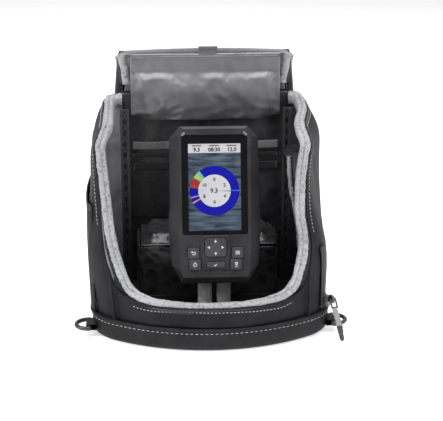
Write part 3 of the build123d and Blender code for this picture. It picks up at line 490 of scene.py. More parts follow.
PADS = {
    # Left pad: lining painted lighter, painted light on the wall that faces the lamps.
    "left_padding": (-4.0, -0.966, left_lining_painted_light, below_rim, 41),
    "right_padding": (0.966, 4.0, dark_lining, below_rim, 43),
    "front_padding": (-0.966, 0.966, dark_lining, below_rim, 47),
}
for pad, (start, end, paint, top, seed) in PADS.items():
    lining = wall_panel(pad + "_lining", start, end, 5.2, top, 4.2, 11.0, paint, puff=1.6, folds=1.6,
                        fold_size=0.028, seed=seed, spacing=2.2, face_in=True)
    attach(lining, "bag")
    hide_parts(pad)


def sheet_grid(x0, x1, z0, z1, y, spacing=2.0):
    """A flat upright grid of points, rows going up and columns going right, in metres."""
    columns, rows = int((x1 - x0) / spacing) + 1, int((z1 - z0) / spacing) + 1
    x, z = np.meshgrid(np.linspace(x0, x1, columns), np.linspace(z0, z1, rows))
    return np.stack([x, np.full_like(x, y), z], -1) * 0.001


def panel_shares(grid):
    """Where each point is across and up its grid, from 0 to 1."""
    rows, columns = grid.shape[:2]
    return np.meshgrid(np.linspace(0, 1, columns), np.linspace(0, 1, rows))


rear_pad = sheet_grid(-84, 84, 5.2, 207.6, 82.0)
across, up = panel_shares(rear_pad)
swell = fade(across, 0.15) * fade(up, 0.1)
rear_pad[..., 1] += (0.8 - 1.6 * swell - 1.4 * swell * creases(rear_pad, 0.03, 51, (1, 1, 1.6))) * 0.001
back_lining = slab("back_padding_lining", rear_pad, sheet_grid(-84, 84, 5.2, 207.6, 88.8), dark_lining)
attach(back_lining, "bag")
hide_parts("back_padding")

# ------------------------------------------------------------------ rim binding
# A bias strip of silver coated nylon folded over the raw edge of shell and padding. It is sewn
# down along its middle, so the outer half gathers in small puckers and the inner half lies flat.
BAND_OUTSIDE, BAND_INSIDE, BAND_MIDDLE = 3.0, 13.0, 8.0


def rim_frames(spacing=1.0, start=-4.0, end=4.0):
    """Points along the opening's edge with the directions into the bag and out of the edge."""
    stations = even_stations(start, end, spacing, 60.0)
    rails = []
    for inset in (BAND_OUTSIDE, BAND_MIDDLE, BAND_INSIDE):
        depth = wall(stations, 60.0, inset)[:, 1] * 1000
        rails.append(wall(stations, rim_height(depth), inset))
    middle = rails[1]
    inward = rails[2] - rails[0]
    along = np.gradient(middle, axis=0)
    along /= np.linalg.norm(along, axis=1, keepdims=True)
    inward -= along * np.sum(inward * along, axis=1, keepdims=True)
    inward /= np.linalg.norm(inward, axis=1, keepdims=True)
    outward = np.cross(inward, along)
    outward *= np.sign(outward[:, 2:3] - outward[:, 1:2])
    run = lengths_along(middle)
    fine = np.arange(0, run[-1], spacing)
    frames = [np.stack([np.interp(fine, run, rail[:, k]) for k in range(3)], -1)
              for rail in (middle, inward, outward)]
    return frames


def tube(name, rings, material, closed=False):
    """A closed skin over rings of points, each a row; capped unless the run meets itself."""
    rows, columns = rings.shape[:2]
    faces = []
    for r in range(rows if closed else rows - 1):
        n = (r + 1) % rows
        for c in range(columns):
            d = (c + 1) % columns
            faces.append((r * columns + c, n * columns + c, n * columns + d, r * columns + d))
    if not closed:
        faces += [tuple(range(columns)), tuple(range((rows - 1) * columns, rows * columns))]
    return new_piece(name, rings, faces, material)


def stitches(name, line, outward, material, dash=2.3, gap=1.3, thick=0.42):
    """Separate thread stitches along a line of points, each sunk a little at both ends."""
    line, outward = np.asarray(line), np.broadcast_to(outward, np.shape(line))
    run = lengths_along(line)
    verts, faces = [], []
    for start in np.arange(0, run[-1] - dash, dash + gap):
        spots = [np.array([np.interp(start + dash * q, run, line[:, k]) for k in range(3)]) for q in (0,
                0.5, 1)]
        away = np.array([np.interp(start, run, outward[:, k]) for k in range(3)])
        along = spots[2] - spots[0]
        side = np.cross(along, away)
        side /= max(np.linalg.norm(side), 1e-9)
        base = len(verts)
        for q, (size, lift) in enumerate([(0.35, -0.3), (1.0, 0.35), (0.35, -0.3)]):
            for turn in range(6):
                angle = math.tau * turn / 6
                verts.append(spots[q] + (side * math.cos(angle) + away * (math.sin(angle) + lift))
                             * thick * size * 0.001)
        for q in range(2):
            for turn in range(6):
                a, b = base + q * 6 + turn, base + q * 6 + (turn + 1) % 6
                faces.append((a, b, b + 6, a + 6))
        faces += [tuple(base + t for t in range(6)), tuple(base + 12 + t for t in range(6))]
    return new_piece(name, verts, faces, material)


silver_cloth = cloth("silver_cloth", (0.17, 0.17, 0.18), (0.50, 0.50, 0.515), rough=0.5, thread=0.0007,
                     weave=0.1, crease=0.0045, creasing=0.35, sheen=0.1, gloss=0.5)
pale_thread = cloth("pale_thread", (0.36, 0.36, 0.37), (0.62, 0.62, 0.63), rough=0.7, thread=0.0004,
                    weave=0.5, creasing=0.1)
edge, into, out_of = rim_frames()
SECTION = [(-4.4, -7.0), (-5.2, -3.2), (-5.5, -0.4), (-4.9, 2.3), (-3.2, 3.7), (-1.5, 3.5), (-0.35, 2.3),
           (0.0, 1.85), (0.35, 2.3), (1.6, 2.9), (3.4, 2.5), (4.8, 0.9), (5.3, -1.8), (5.1, -5.0),
           (4.4, -8.0), (2.0, -8.6), (-2.0, -8.4)]
PUCKER = [0.3, 0.7, 1.0, 1.2, 1.3, 1.0, 0.4, 0.0, 0.2, 0.5, 0.6, 0.6, 0.6, 0.5, 0.2, 0.0, 0.0]
rings = []
for column, ((aside, raised), slack) in enumerate(zip(SECTION, PUCKER)):
    middle_line = edge + into * aside * 0.00084 + out_of * raised * 0.001
    small, wide = (0.0042, 0.011) if column < 8 else (0.009, 0.02)
    pull = 0.75 * creases(middle_line, small, 61) + 0.7 * ripple(middle_line, wide, 62)
    pull += 0.35 * ripple(middle_line, 0.0022, 63)
    spread = math.hypot(aside, raised)
    away = (into * aside + out_of * raised) / max(spread, 0.5)
    rings.append(middle_line + away * (pull * slack)[:, None] * 0.00085)
band = tube("rim_binding_cloth", np.stack(rings, 1), silver_cloth)
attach(band, "bag")
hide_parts("rim_binding")
sewn_down = edge + out_of * 0.0021
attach(stitches("rim_middle_stitches", sewn_down, out_of, pale_thread, thick=0.3), "bag")


def laid_on(line, pieces, lift=0.25):
    """Moves each point of a line on to the nearest cloth, and says which way the cloth faces."""
    spots, normals = [], []
    skins = [(BVHTree.FromPolygons([v.co for v in p.data.vertices], [f.vertices for f in p.data.polygons]))
             for p in pieces]
    for point in line:
        found = [skin.find_nearest(Vector(point)) for skin in skins]
        spot, normal = min(found, key=lambda hit: hit[3])[:2]
        spots.append(spot + normal * lift * 0.001)
        normals.append(normal)
    return np.array(spots), np.array(normals)


outside_line = edge - into * 0.0098 - out_of * 0.0034
outside_line, outside_way = laid_on(outside_line, shell_panels)
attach(stitches("rim_outer_stitches", outside_line, outside_way, pale_thread, thick=0.4), "bag")

# ------------------------------------------------------------------ opening zip
# Half of a coil zip sewn round the outside of the opening: a woven tape with nylon teeth along
# its edge. The other half is on the cover, so the bag closes all round.
zip_cloth = cloth("zip_cloth", (0.012, 0.012, 0.014), (0.04, 0.04, 0.045), rough=0.8, thread=0.0007,
                  weave=0.6, creasing=0.1)


def moulded(name, dark, light, rough=0.5, grain=0.0006, depth=0.25, gloss=0.5, coat=0.0):
    """Moulded plastic or rubber with a fine surface grain and uneven handling marks."""
    made = bpy.data.materials.new(name)
    made.use_nodes = True
    tree = made.node_tree
    shader = tree.nodes["Principled BSDF"]
    shader.inputs["Specular IOR Level"].default_value = gloss
    shader.inputs["Coat Weight"].default_value = coat
    shader.inputs["Coat Roughness"].default_value = 0.08
    cloud = place_group(tree, MOTTLE, Size=0.02)
    pits = place_group(tree, CRINKLE, Size=grain, Bend=0.6)
    ramp = tree.nodes.new("ShaderNodeValToRGB")
    ramp.color_ramp.elements[0].position, ramp.color_ramp.elements[1].position = 0.3, 0.85
    ramp.color_ramp.elements[0].color, ramp.color_ramp.elements[1].color = (*dark, 1), (*light, 1)
    speck = add_math(tree, "ADD", cloud.outputs[0], add_math(tree, "MULTIPLY", pits.outputs["Crease"], 0.12))
    tree.links.new(speck, ramp.inputs[0])
    tree.links.new(ramp.outputs[0], shader.inputs["Base Color"])
    polish = add_math(tree, "MULTIPLY_ADD", cloud.outputs[0], 0.2)
    polish.node.inputs[2].default_value = rough - 0.1
    tree.links.new(polish, shader.inputs["Roughness"])
    bump = tree.nodes.new("ShaderNodeBump")
    bump.inputs["Strength"].default_value = depth
    bump.inputs["Distance"].default_value = 0.0002
    tree.links.new(pits.outputs["Height"], bump.inputs["Height"])
    tree.links.new(bump.outputs[0], shader.inputs["Normal"])
    return made


nylon_teeth = moulded("nylon_teeth", (0.02, 0.02, 0.022), (0.06, 0.06, 0.065), rough=0.4)


def teeth(name, line, outward, across, material, pitch=1.6, width=2.6, high=0.9):
    """A row of small rounded teeth along a line of points."""
    line = np.asarray(line)
    outward, across = np.broadcast_to(outward, line.shape), np.broadcast_to(across, line.shape)
    run = lengths_along(line)
    verts, faces = [], []
    for place in np.arange(pitch, run[-1] - pitch, pitch):
        spot, away, side = [np.array([np.interp(place, run, v[:, k]) for k in range(3)])
                            for v in (line, outward, across)]
        away, side = away / np.linalg.norm(away), side / np.linalg.norm(side)
        along = np.cross(away, side)
        base = len(verts)
        for a, s in ((-0.5, 1.0), (0.5, 1.0)):
            for w, h in ((-0.5, -0.2), (0.5, -0.2), (0.42, 0.8), (0.2, 1.0), (-0.2, 1.0), (-0.42, 0.8)):
                verts.append(spot + (along * a * pitch * 0.62 + side * w * width + away * h * high) * 0.001)
        for c in range(6):
            d = (c + 1) % 6
            faces.append((base + c, base + d, base + 6 + d, base + 6 + c))
        faces += [tuple(base + c for c in range(6)), tuple(base + 6 + c for c in range(6))]
    return new_piece(name, verts, faces, material, smooth=False)


zip_edge, zip_into, zip_out = rim_frames(1.6)
TAPE = [(-4.2, -1.0), (-6.0, -1.3), (-6.5, -3.0), (-6.5, -5.6), (-5.4, -6.4), (-4.2, -6.2)]
rings = [zip_edge + zip_into * a * 0.001 + zip_out * b * 0.001 for a, b in TAPE]
zip_tape_run = tube("opening_zip_tape", np.stack(rings, 1), zip_cloth)
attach(zip_tape_run, "bag")
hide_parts("opening_zip")
tooth_line = zip_edge - zip_into * 0.0065 - zip_out * 0.0026
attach(teeth("opening_zip_teeth", tooth_line, -zip_into, zip_out, nylon_teeth), "bag")

# ------------------------------------------------------------------ boot
# The bag stands in a moulded rubber boot that keeps water out of the seams. It is turned up
# round the foot of the cloth and held by one row of pale lock stitching.
boot_rubber = moulded("boot_rubber", (0.010, 0.010, 0.011), (0.028, 0.028, 0.030), rough=0.62, grain=0.0011,
                      depth=0.5, gloss=0.14)


def finish_node(node, material):
    """Gives a CAD part its finish."""
    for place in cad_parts[node].material_slots:
        place.material = material


finish_node("base_boot", boot_rubber)
round_bag = even_stations(-4.6, 4.6, 1.5)
boot_line = wall(round_bag, 18.6, -1.15)
boot_out = wall(round_bag, 18.6, -2.0) - wall(round_bag, 18.6, 0.0)
boot_out /= np.linalg.norm(boot_out, axis=1, keepdims=True)
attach(stitches("boot_stitches", boot_line, boot_out, pale_thread, dash=3.0, gap=1.7, thick=0.45), "bag")
LIP = [(-1.0, 20.2), (-2.1, 20.8), (-2.4, 22.0), (-1.8, 23.0), (-0.4, 23.4), (0.6, 22.2), (0.4, 20.6)]
rings = [wall(round_bag, high, aside) for aside, high in LIP]
lip = tube("boot_lip", np.stack(rings, 1), boot_rubber)
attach(lip, "bag")

# ------------------------------------------------------------------ seam piping
# A corded edge covers each upright seam between the front and side panels.
for side in (-1, 1):
    seam_height = np.linspace(23.5, 70.0, 40)
    seam_station = np.full_like(seam_height, 0.966 * side)
    rings = []
    for turn in range(8):
        angle = math.tau * turn / 8
        rings.append(wall(seam_station + 0.008 * math.cos(angle), seam_height, -0.5 - 1.2 * math.sin(angle)))
    piping = tube("seam_piping_" + ("left" if side < 0 else "right"), np.stack(rings, 1), outer_cloth)
    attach(piping, "bag")

# ------------------------------------------------------------------ cover
# The front cover, folded back over the rear: a stand that rises from the back wall, a roof that
# hangs behind it and an apron below. Coated cloth outside, satin lining inside, foam between.
satin = cloth("satin_lining", (0.050, 0.050, 0.054), (0.120, 0.120, 0.127), rough=0.30, thread=0.0005,
              weave=0.06, crease=0.02, creasing=0.2, sheen=0.2, gloss=0.9)


top_satin = cloth("top_satin", (0.055, 0.055, 0.059), (0.13, 0.13, 0.137), rough=0.5, thread=0.0005,
                  weave=0.06, crease=0.02, creasing=0.2, sheen=0.2, gloss=0.5)


def cover_panel(name, half_low, half_high, z0, z1, front, back, near, far, seed, round_foot=0.0):
    """A padded panel that stands upright: near and far are its front and rear cloths."""
    rows, columns = int((z1 - z0) / 2.5) + 2, 76
    u, v = np.meshgrid(np.linspace(-1, 1, columns), np.linspace(0, 1, rows))
    z = z0 + (z1 - z0) * v
    half = half_low + (half_high - half_low) * v
    if round_foot:
        low = np.clip((z0 + round_foot - z) / round_foot, 0, 1)
        half = half - round_foot * (1 - np.sqrt(1 - low**2))
    near_side = np.stack([u * half, np.full_like(u, front), z], -1) * 0.001
    far_side = near_side.copy()
    far_side[..., 1] = back * 0.001
    soft = fade((u + 1) / 2, 0.1) * (fade(v, 0.12) * 0.7 + 0.3)
    near_side[..., 1] += (1.0 - soft * (1.3 + 1.0 * creases(near_side, 0.035, seed, (1.6, 1, 1)))) * 0.001
    far_side[..., 1] += (-1.0 + soft * (1.3 + 1.0 * creases(far_side, 0.03, seed + 3, (1.6, 1, 1)))) * 0.001
    return slab(name, near_side, far_side, near, far)


STAND_FOOT, COVER_TOP, ROOF_FOOT, APRON_EDGES = 215.5, 247.0, 162.5, (8.5, 157.5)
COVER = {
    "cover_stand": ("cover_front", (80, 86.4, STAND_FOOT, COVER_TOP, 88.0, 93.0, satin, outer_cloth, 71, 0),
                    "satin_lining"),
    "cover_roof": ("cover_top", (94, 86.6, ROOF_FOOT, COVER_TOP, 100.0, 105.0, outer_cloth, satin, 73, 0),
                   "outer_cloth"),
    "cover_apron": ("cover_face", (94, 94, *APRON_EDGES, 100.0, 105.0, outer_cloth, satin, 79, 62),
                    "outer_cloth"),
}
for node, (body, shape, slot) in COVER.items():
    panel = cover_panel(node + "_cloth", *shape)
    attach(panel, body)
    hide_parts(node)


def fold_strip(name, line, half_low, half_high, thick, material, under, seed, crown=0.0):
    """Loose cloth that bridges two panels: line is (y, z) points of its middle, in millimetres."""
    line = np.array(line, float)
    along = np.gradient(line, axis=0)
    along /= np.linalg.norm(along, axis=1, keepdims=True)
    normal = np.stack([-along[:, 1], along[:, 0]], 1)
    u = np.linspace(-1, 1, 76)
    share = np.linspace(0, 1, len(line))
    half = half_low + (half_high - half_low) * share

    def face(offset):
        spot = line + normal * offset
        x = half[:, None] * u[None, :]
        grid = np.stack([x, np.repeat(spot[:, :1], 76, 1), np.repeat(spot[:, 1:], 76, 1)], -1) * 0.001
        lift = 0.5 * ripple(grid, 0.012, seed) * fade(share, 0.3)[:, None]
        grid[..., 1] += lift * 0.001
        droop = crown * (0.4 - u[None, :] ** 2 - 0.5 * u[None, :] ** 12)
        grid[..., 2] += droop * np.sin(math.pi * share)[:, None] * 0.001
        return grid

    return slab(name, face(thick / 2), face(-thick / 2), material, under)


bow = np.linspace(0, math.pi, 15)
STRIPS = {
    "hinge_cloth": ([(90.5, z) for z in np.linspace(207, 217, 9)], 82, 80.5, 3.0, "bag", "cover_front",
                    (0, 0.0905, 0.2095), (0, 0.0905, 0.2145)),
    "fold_cloth": ([(96.5 - 6.0 * math.cos(a), 246.4 + 1.4 * math.sin(a)) for a in bow], 85.4, 86, 2.6,
                   "cover_front", "cover_top", (0, 0.0925, 0.250), (0, 0.1005, 0.250)),
    "bend_cloth": ([(102.5, z) for z in np.linspace(165, 155, 9)], 93.5, 93.5, 3.0, "cover_top",
                   "cover_face",
                   (0, 0.1025, 0.1625), (0, 0.1025, 0.1575)),
}
for index, (name, (line, low, high, thick, first, second, start, end)) in enumerate(STRIPS.items()):
    over_top = name == "fold_cloth"
    strip = fold_strip(name, line, low, high, thick, top_satin if over_top else satin, outer_cloth,
                       81 + index,
                       crown=3.2 if over_top else 0.0)
    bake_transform(strip)
    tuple(start)
    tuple(end)

# ------------------------------------------------------------------ cover zip edges
# The cover's half of the opening zip: a silver edge strip with its teeth down both sides of the stand, left
# bright where the cloth folds over.
for side, tag in ((-1, "left"), (1, "right")):
    steps = np.linspace(0, 1, 50)
    half = 80.5 + 6.0 * steps
    line = np.stack([side * half, np.full(50, 88.2), STAND_FOOT + 31.0 * steps], 1) * 0.001
    line[:, 0] += side * 0.0008 * ripple(line, 0.012, 91)
    loop = [(1.4, 0.9), (-2.4, 1.5), (-5.8, 1.0), (-6.4, -0.5), (-2.6, -1.0), (1.4, -1.0), (2.0, 0.0)]
    rings = []
    for aside, forward in loop:
        spot = line.copy()
        spot[:, 0] += side * (aside * 0.001 + 0.0004 * ripple(line, 0.006, 92))
        spot[:, 1] -= (forward + 0.4 * ripple(line, 0.005, 93)) * 0.001
        rings.append(spot)
    edge_strip = tube("cover_zip_edge_" + tag, np.stack(rings, 1), silver_cloth)
    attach(edge_strip, "cover_front")
    cover_teeth = teeth("cover_zip_teeth_" + tag, line + np.array([side * 0.0030, 0.0012, 0]), (0, -1, 0),
                        (side, 0, 0), nylon_teeth)
    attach(cover_teeth, "cover_front")

# ------------------------------------------------------------------ cover binding
# Woven tape folded over the raw edge of the roof and the apron and sewn through. It carries the
# cover's row of zip teeth round to the apron's foot.
def edge_binding(name, line, inward, body):
    """Binding tape along an edge: line and the way in from it are (x, z) in millimetres."""
    line, inward = np.asarray(line, float), np.asarray(inward, float)
    middle = np.stack([line[:, 0], np.full(len(line), 102.5), line[:, 1]], 1)
    toward = np.stack([inward[:, 0], np.zeros(len(line)), inward[:, 1]], 1)
    rings = []
    for deep, across_edge in ((7.0, -2.4), (6.8, -3.5), (0.4, -3.3), (-0.8, -1.6), (-0.8, 1.6), (0.4, 3.3),
                              (6.8, 3.5), (7.0, 2.4)):
        spot = middle + toward * deep + np.array([0, across_edge, 0])
        spot[:, 1] += 0.25 * ripple(spot * 0.001, 0.006, 97)
        rings.append(spot * 0.001)
    tape = tube(name, np.stack(rings, 1), zip_cloth)
    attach(tape, body)
    for tag, face in (("front", -1), ("rear", 1)):
        seam = (middle + toward * 5.6 + np.array([0, face * 3.7, 0])) * 0.001
        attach(stitches(name + "_stitches_" + tag, seam, (0, face, 0), pale_thread, thick=0.3), body)
    row = (middle - toward * 0.9) * 0.001
    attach(teeth(name + "_teeth", row, -toward, (0, 1, 0), nylon_teeth), body)


APRON_FOOT, APRON_HEAD, APRON_HALF, APRON_ROUND = 9.3, 154.0, 93.0, 61.5
for side, tag in ((-1, "left"), (1, "right")):
    steps = np.linspace(0, 1, 40)
    roof_line = np.stack([side * (93.2 - 6.6 * steps), 166 + 78.6 * steps], 1)
    edge_binding("roof_binding_" + tag, roof_line, np.tile([-side, 0.0], (40, 1)), "cover_top")
turn = np.radians(np.linspace(180, 270, 26))
corner_x, corner_z = APRON_HALF - APRON_ROUND, APRON_FOOT + APRON_ROUND
left_side = [(-APRON_HALF, z) for z in np.linspace(APRON_HEAD, corner_z, 24)[:-1]]
left_round = [(-corner_x + APRON_ROUND * math.cos(a), corner_z + APRON_ROUND * math.sin(a)) for a in turn]
foot = [(x, APRON_FOOT) for x in np.linspace(-corner_x, corner_x, 18)[1:-1]]
outline = np.array(left_side + left_round + foot + [(-x, z) for x, z in (left_side + left_round)[::-1]])
along = np.gradient(outline, axis=0)
along /= np.linalg.norm(along, axis=1, keepdims=True)
edge_binding("apron_binding", outline, np.stack([-along[:, 1], along[:, 0]], 1), "cover_face")

# ------------------------------------------------------------------ lining curtain
# A loose satin flap sewn along the stand's top edge, which covers the gap when the bag is open.
# Its top is tacked flat with two rows of stitching; below them it hangs full and crumples.
CURTAIN_TOP, CURTAIN_TACK, CURTAIN_FOOT, CURTAIN_HALF = 245.0, 228.0, 183.0, 75.2


def billow(piece, held, pressure, reach, growth):
    """Swells a closed piece of slack cloth by simulation. Held is the corner numbers that are
    sewn down, reach the furthest that any point may move, growth the spare cloth as a share."""
    piece.vertex_groups.new(name="sewn").add(held, 1.0, "REPLACE")
    start = np.array([v.co[:] for v in piece.data.vertices])
    modifier = piece.modifiers.new("billow", "CLOTH")
    sewing = modifier.settings
    sewing.quality, sewing.mass = 6, 0.15
    sewing.use_pressure, sewing.uniform_pressure_force = True, pressure
    sewing.vertex_group_mass, sewing.shrink_min = "sewn", -growth
    sewing.bending_stiffness = 0.05
    sewing.effector_weights.gravity = 0.0
    for frame_number in range(1, 21):
        scene.frame_set(frame_number)
    settled = piece.evaluated_get(bpy.context.evaluated_depsgraph_get())
    moved = np.array([v.co[:] for v in settled.data.vertices]) - start
    piece.modifiers.remove(modifier)
    scene.frame_set(1)
    far = np.linalg.norm(moved, axis=1, keepdims=True)
    moved *= np.minimum(1, reach * 0.001 / np.maximum(far, 1e-9))
    for vertex, place in zip(piece.data.vertices, start + moved):
        vertex.co = place
    smoother = piece.modifiers.new("smooth", "SUBSURF")
    smoother.levels = 1
    shape = bpy.data.meshes.new_from_object(piece.evaluated_get(bpy.context.evaluated_depsgraph_get()))
    piece.modifiers.clear()
    piece.data = shape
    piece.vertex_groups.clear()


hang = sheet_grid(-CURTAIN_HALF, CURTAIN_HALF, CURTAIN_FOOT, CURTAIN_TOP, 78.6, 2.4)
across, up = panel_shares(hang)
loose = np.clip((CURTAIN_TACK - hang[..., 2] * 1000) / (CURTAIN_TACK - CURTAIN_FOOT), 0, 1)
belly = np.sin(math.pi * loose**0.55) ** 0.7
crumple = creases(hang, 0.034, 101, (1.5, 1, 0.8)) * 0.65 + creases(hang, 0.015, 103, (1.2, 1, 0.8)) * 0.35
hang[..., 1] -= (7.5 * belly * (0.35 + 0.65 * fade(across, 0.10)) + 4.6 * loose**1.3 * crumple) * 0.001
hang[..., 2] -= loose * (1.6 * ripple(hang, 0.05, 107) + 5.0 * fade(across, 0.16) - 3.5) * 0.001
behind = hang.copy()
behind[..., 1] += 0.0020
# The curtain's satin is a lighter copy of the cover's satin: painted highlight, standing in for the broad
# sheen on its hanging belly.
curtain_satin_painted_highlight = cloth("curtain_satin_painted_highlight", (0.085, 0.085, 0.091), (0.195, 0.195, 0.205), rough=0.36,
                      thread=0.0005,
                      weave=0.06, crease=0.02, creasing=0.2, sheen=0.25, gloss=0.9)
curtain = slab("curtain_cloth", hang, behind, curtain_satin_painted_highlight)
rows, columns = hang.shape[:2]
tacked = [r * columns + c + side * rows * columns for side in (0,
                                                               1) for r in range(rows)
          for c in range(columns)
          if hang[r, c, 2] * 1000 > CURTAIN_TACK or c in (0, columns - 1) and r > rows // 2]
billow(curtain, tacked, 1.4, 3.0, 0.012)
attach(curtain, "lining_curtain")
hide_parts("curtain")
satin_thread = cloth("satin_thread", (0.10, 0.10, 0.105), (0.24, 0.24, 0.25), rough=0.6, thread=0.0004,
                     weave=0.4)
for tag, height in (("top", 243.2), ("tack", 228.6)):
    row = np.stack([np.linspace(-74, 74, 80), np.full(80, 78.4), np.full(80, height)], 1) * 0.001
    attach(stitches("curtain_stitches_" + tag, row, (0, -1, 0), satin_thread, thick=0.3), "lining_curtain")
column = np.stack([np.full(40, -72.6), np.full(40, 78.3), np.linspace(229, 243, 40)], 1) * 0.001
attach(stitches("curtain_stitches_side", column, (0, -1, 0), satin_thread, thick=0.3), "lining_curtain")
bridge = [(78.9 + 9.4 * q, 244.6 + 2.2 * math.sin(math.pi * q)) for q in np.linspace(0, 1, 12)]
bridge_cloth = fold_strip("curtain_heading", bridge[::-1], 75.4, 75.2, 0.8, satin, satin, 111)
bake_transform(bridge_cloth)

# ------------------------------------------------------------------ webbing
# Ribbed nylon webbing: the pull tab at the cover's top, the tabs that hold the strap rings, the
# bands across the back wall and the hem of the net pocket.
webbing = cloth("webbing", (0.045, 0.045, 0.048), (0.17, 0.17, 0.178), rough=0.7, thread=0.0012, weave=0.9,
                creasing=0.1, sheen=0.2)
dark_webbing = cloth("dark_webbing", (0.012, 0.012, 0.013), (0.050, 0.050, 0.054), rough=0.75, thread=0.0012,
                     weave=0.9, creasing=0.1, sheen=0.03, gloss=0.15)
pale_webbing = cloth("pale_webbing", (0.09, 0.09, 0.095), (0.27, 0.27, 0.28), rough=0.6, thread=0.0012,
                     weave=0.7, creasing=0.15, sheen=0.2)


def strap(name, line, across, width, thick, material, ribs=7, rounding=0.35):
    """A ribbed strap that follows a line of points; across is the direction of its width."""
    line = np.asarray(line, float)
    along = np.gradient(line, axis=0)
    along /= np.linalg.norm(along, axis=1, keepdims=True)
    side = np.asarray(across, float) - along * np.sum(along * across, axis=1, keepdims=True)
    side /= np.linalg.norm(side, axis=1, keepdims=True)
    face = np.cross(along, side)
    count = ribs * 4 + 1
    rings = []
    for sign, order in ((1, range(count)), (-1, reversed(range(count)))):
        for c in order:
            q = 2 * c / (count - 1) - 1
            rib = 0.12 * abs(math.sin(math.pi * ribs * (q + 1) / 2))
            edge_round = math.sqrt(max(0, 1 - max(0, (abs(q) - 1 + rounding) / rounding) ** 2)) * 0.7 + 0.3
            rings.append(line + (side * q * width / 2 + face * sign * thick * (0.5 * edge_round + rib))
                         * 0.001)
    return tube(name, np.stack(rings, 1), material)


tab_line = [(3.0, 86.3 - 0.5 * math.sin(z * 0.7), z) for z in np.linspace(232.5, 254.3, 24)]
tab = strap("pull_tab_strap", np.array(tab_line) * 0.001, (1, 0, 0), 19.0, 1.5, webbing, ribs=9,
            rounding=0.15)
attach(tab, "cover_front")
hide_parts("pull_tab")
for side, tag in ((-1, "left"), (1, "right")):
    loop = [(111.0, 13.0), (114.5, 12.9), (117.7, 12.8)]
    loop += [(117.7 + 2.9 * math.sin(a), 10 + 2.9 * math.cos(a)) for a in np.linspace(0.25, math.pi - 0.25,
            9)]
    loop += [(117.7, 7.2), (114.5, 7.1), (111.0, 7.0)]
    fold = strap("ring_tab_strap_" + tag, np.array([(side * x, -44.0, z) for x, z in loop]) * 0.001,
                 (0, 1, 0),
                 17.0, 0.9, dark_webbing, ribs=8)
    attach(fold, "bag")
    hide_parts("ring_tab_" + tag)
BANDS = (("low", 132.0, 8.0, dark_webbing), ("middle", 144.0, 4.0, dark_webbing),
         ("high", 154.0, 8.0, pale_webbing))
bands = []
for tag, height, width, paint in BANDS:
    x = np.linspace(-74, 74, 120)
    droop = 0.9 * np.abs(np.sin(math.pi * (x + 74) / 37.0))
    line = np.stack([x, 79.9 - 0.6 * droop, height - 0.5 * droop], 1) * 0.001
    bands.append(strap("webbing_band_" + tag, line, (0, 0, 1), width, 1.1, paint,
                       ribs=max(3, int(width / 1.6))))
    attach(bands[-1], "bag")
    for place in (-74, -37, 0, 37, 74):
        inset_x = place * 0.985
        tack = np.stack([np.full(12, inset_x), np.full(12, 79.0),
                         np.linspace(-width / 2, width / 2, 12) + height], 1)
        bar = stitches("band_tack_%s_%d" % (tag, place + 74), tack * 0.001, (0, -1, 0), satin_thread,
                       dash=1.3, gap=0.5)
        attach(bar, "bag")
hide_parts("webbing_bands")

# ------------------------------------------------------------------ net pocket
# An elastic pocket of open diamond net on the left flank, gathered under a webbing hem. The net
# is knotted from round cord, so the cloth behind it shows through every opening.
net_cord = cloth("net_cord", (0.025, 0.025, 0.027), (0.085, 0.085, 0.090), rough=0.6, thread=0.0004,
                 weave=0.5,
                 creasing=0.05)


def net(name, surface, across_mm, up_mm, pitch, thick, material):
    """Diamond net over surface(u, v), both 0 to 1, made of thin cords that meet at knots."""
    columns, rows = int(across_mm / pitch), int(up_mm / pitch)
    mesh = bmesh.new()
    knots = {}

    def knot(c, r):
        if (c, r) not in knots:
            knots[c, r] = mesh.verts.new(surface(min(max(c / (2 * columns), 0), 1), r / (2 * rows)))
        return knots[c, r]

    for r in range(2 * rows - 1):
        for c in range(-1, 2 * columns):
            if (r + c) % 2 == 0:
                corners = [(c, r + 1), (c + 1, r), (c + 2, r + 1), (c + 1, r + 2)]
                corners = [p for p in corners if 0 <= p[0] <= 2 * columns and 0 <= p[1] <= 2 * rows]
                if len(corners) >= 3:
                    mesh.faces.new([knot(*p) for p in corners])
    data = bpy.data.meshes.new(name)
    mesh.to_mesh(data)
    mesh.free()
    data.materials.append(material)
    made = bpy.data.objects.new(name, data)
    scene.collection.objects.link(made)
    wire = made.modifiers.new("cords", "WIREFRAME")
    wire.thickness, wire.use_boundary, wire.use_even_offset = thick, True, False
    solid = bpy.data.meshes.new_from_object(made.evaluated_get(bpy.context.evaluated_depsgraph_get()))
    made.modifiers.clear()
    made.data = solid
    solid.polygons.foreach_set("use_smooth", [True] * len(solid.polygons))
    return made


def pocket_point(u, v):
    """The bulging face of the flank pocket."""
    depth, height = -44 + 106 * u, 24.5 + 98.5 * v
    out = 1.0 + 4.2 * (max(math.sin(math.pi * u),
                           0.0) ** 0.6) * (0.35 + 0.65 * math.sin(math.pi * min(v * 0.75, 1)))
    if depth < -28.2:
        turn = math.asin(min(1, (-28.2 - depth) / 45.0))
        return Vector((-(CORNER[0] + (CORNER_RADIUS + out) * math.cos(turn)),
                       CORNER[1] - (CORNER_RADIUS + out) * math.sin(turn),
                       height)) * 0.001
    return Vector((-(114 + out), depth, height)) * 0.001


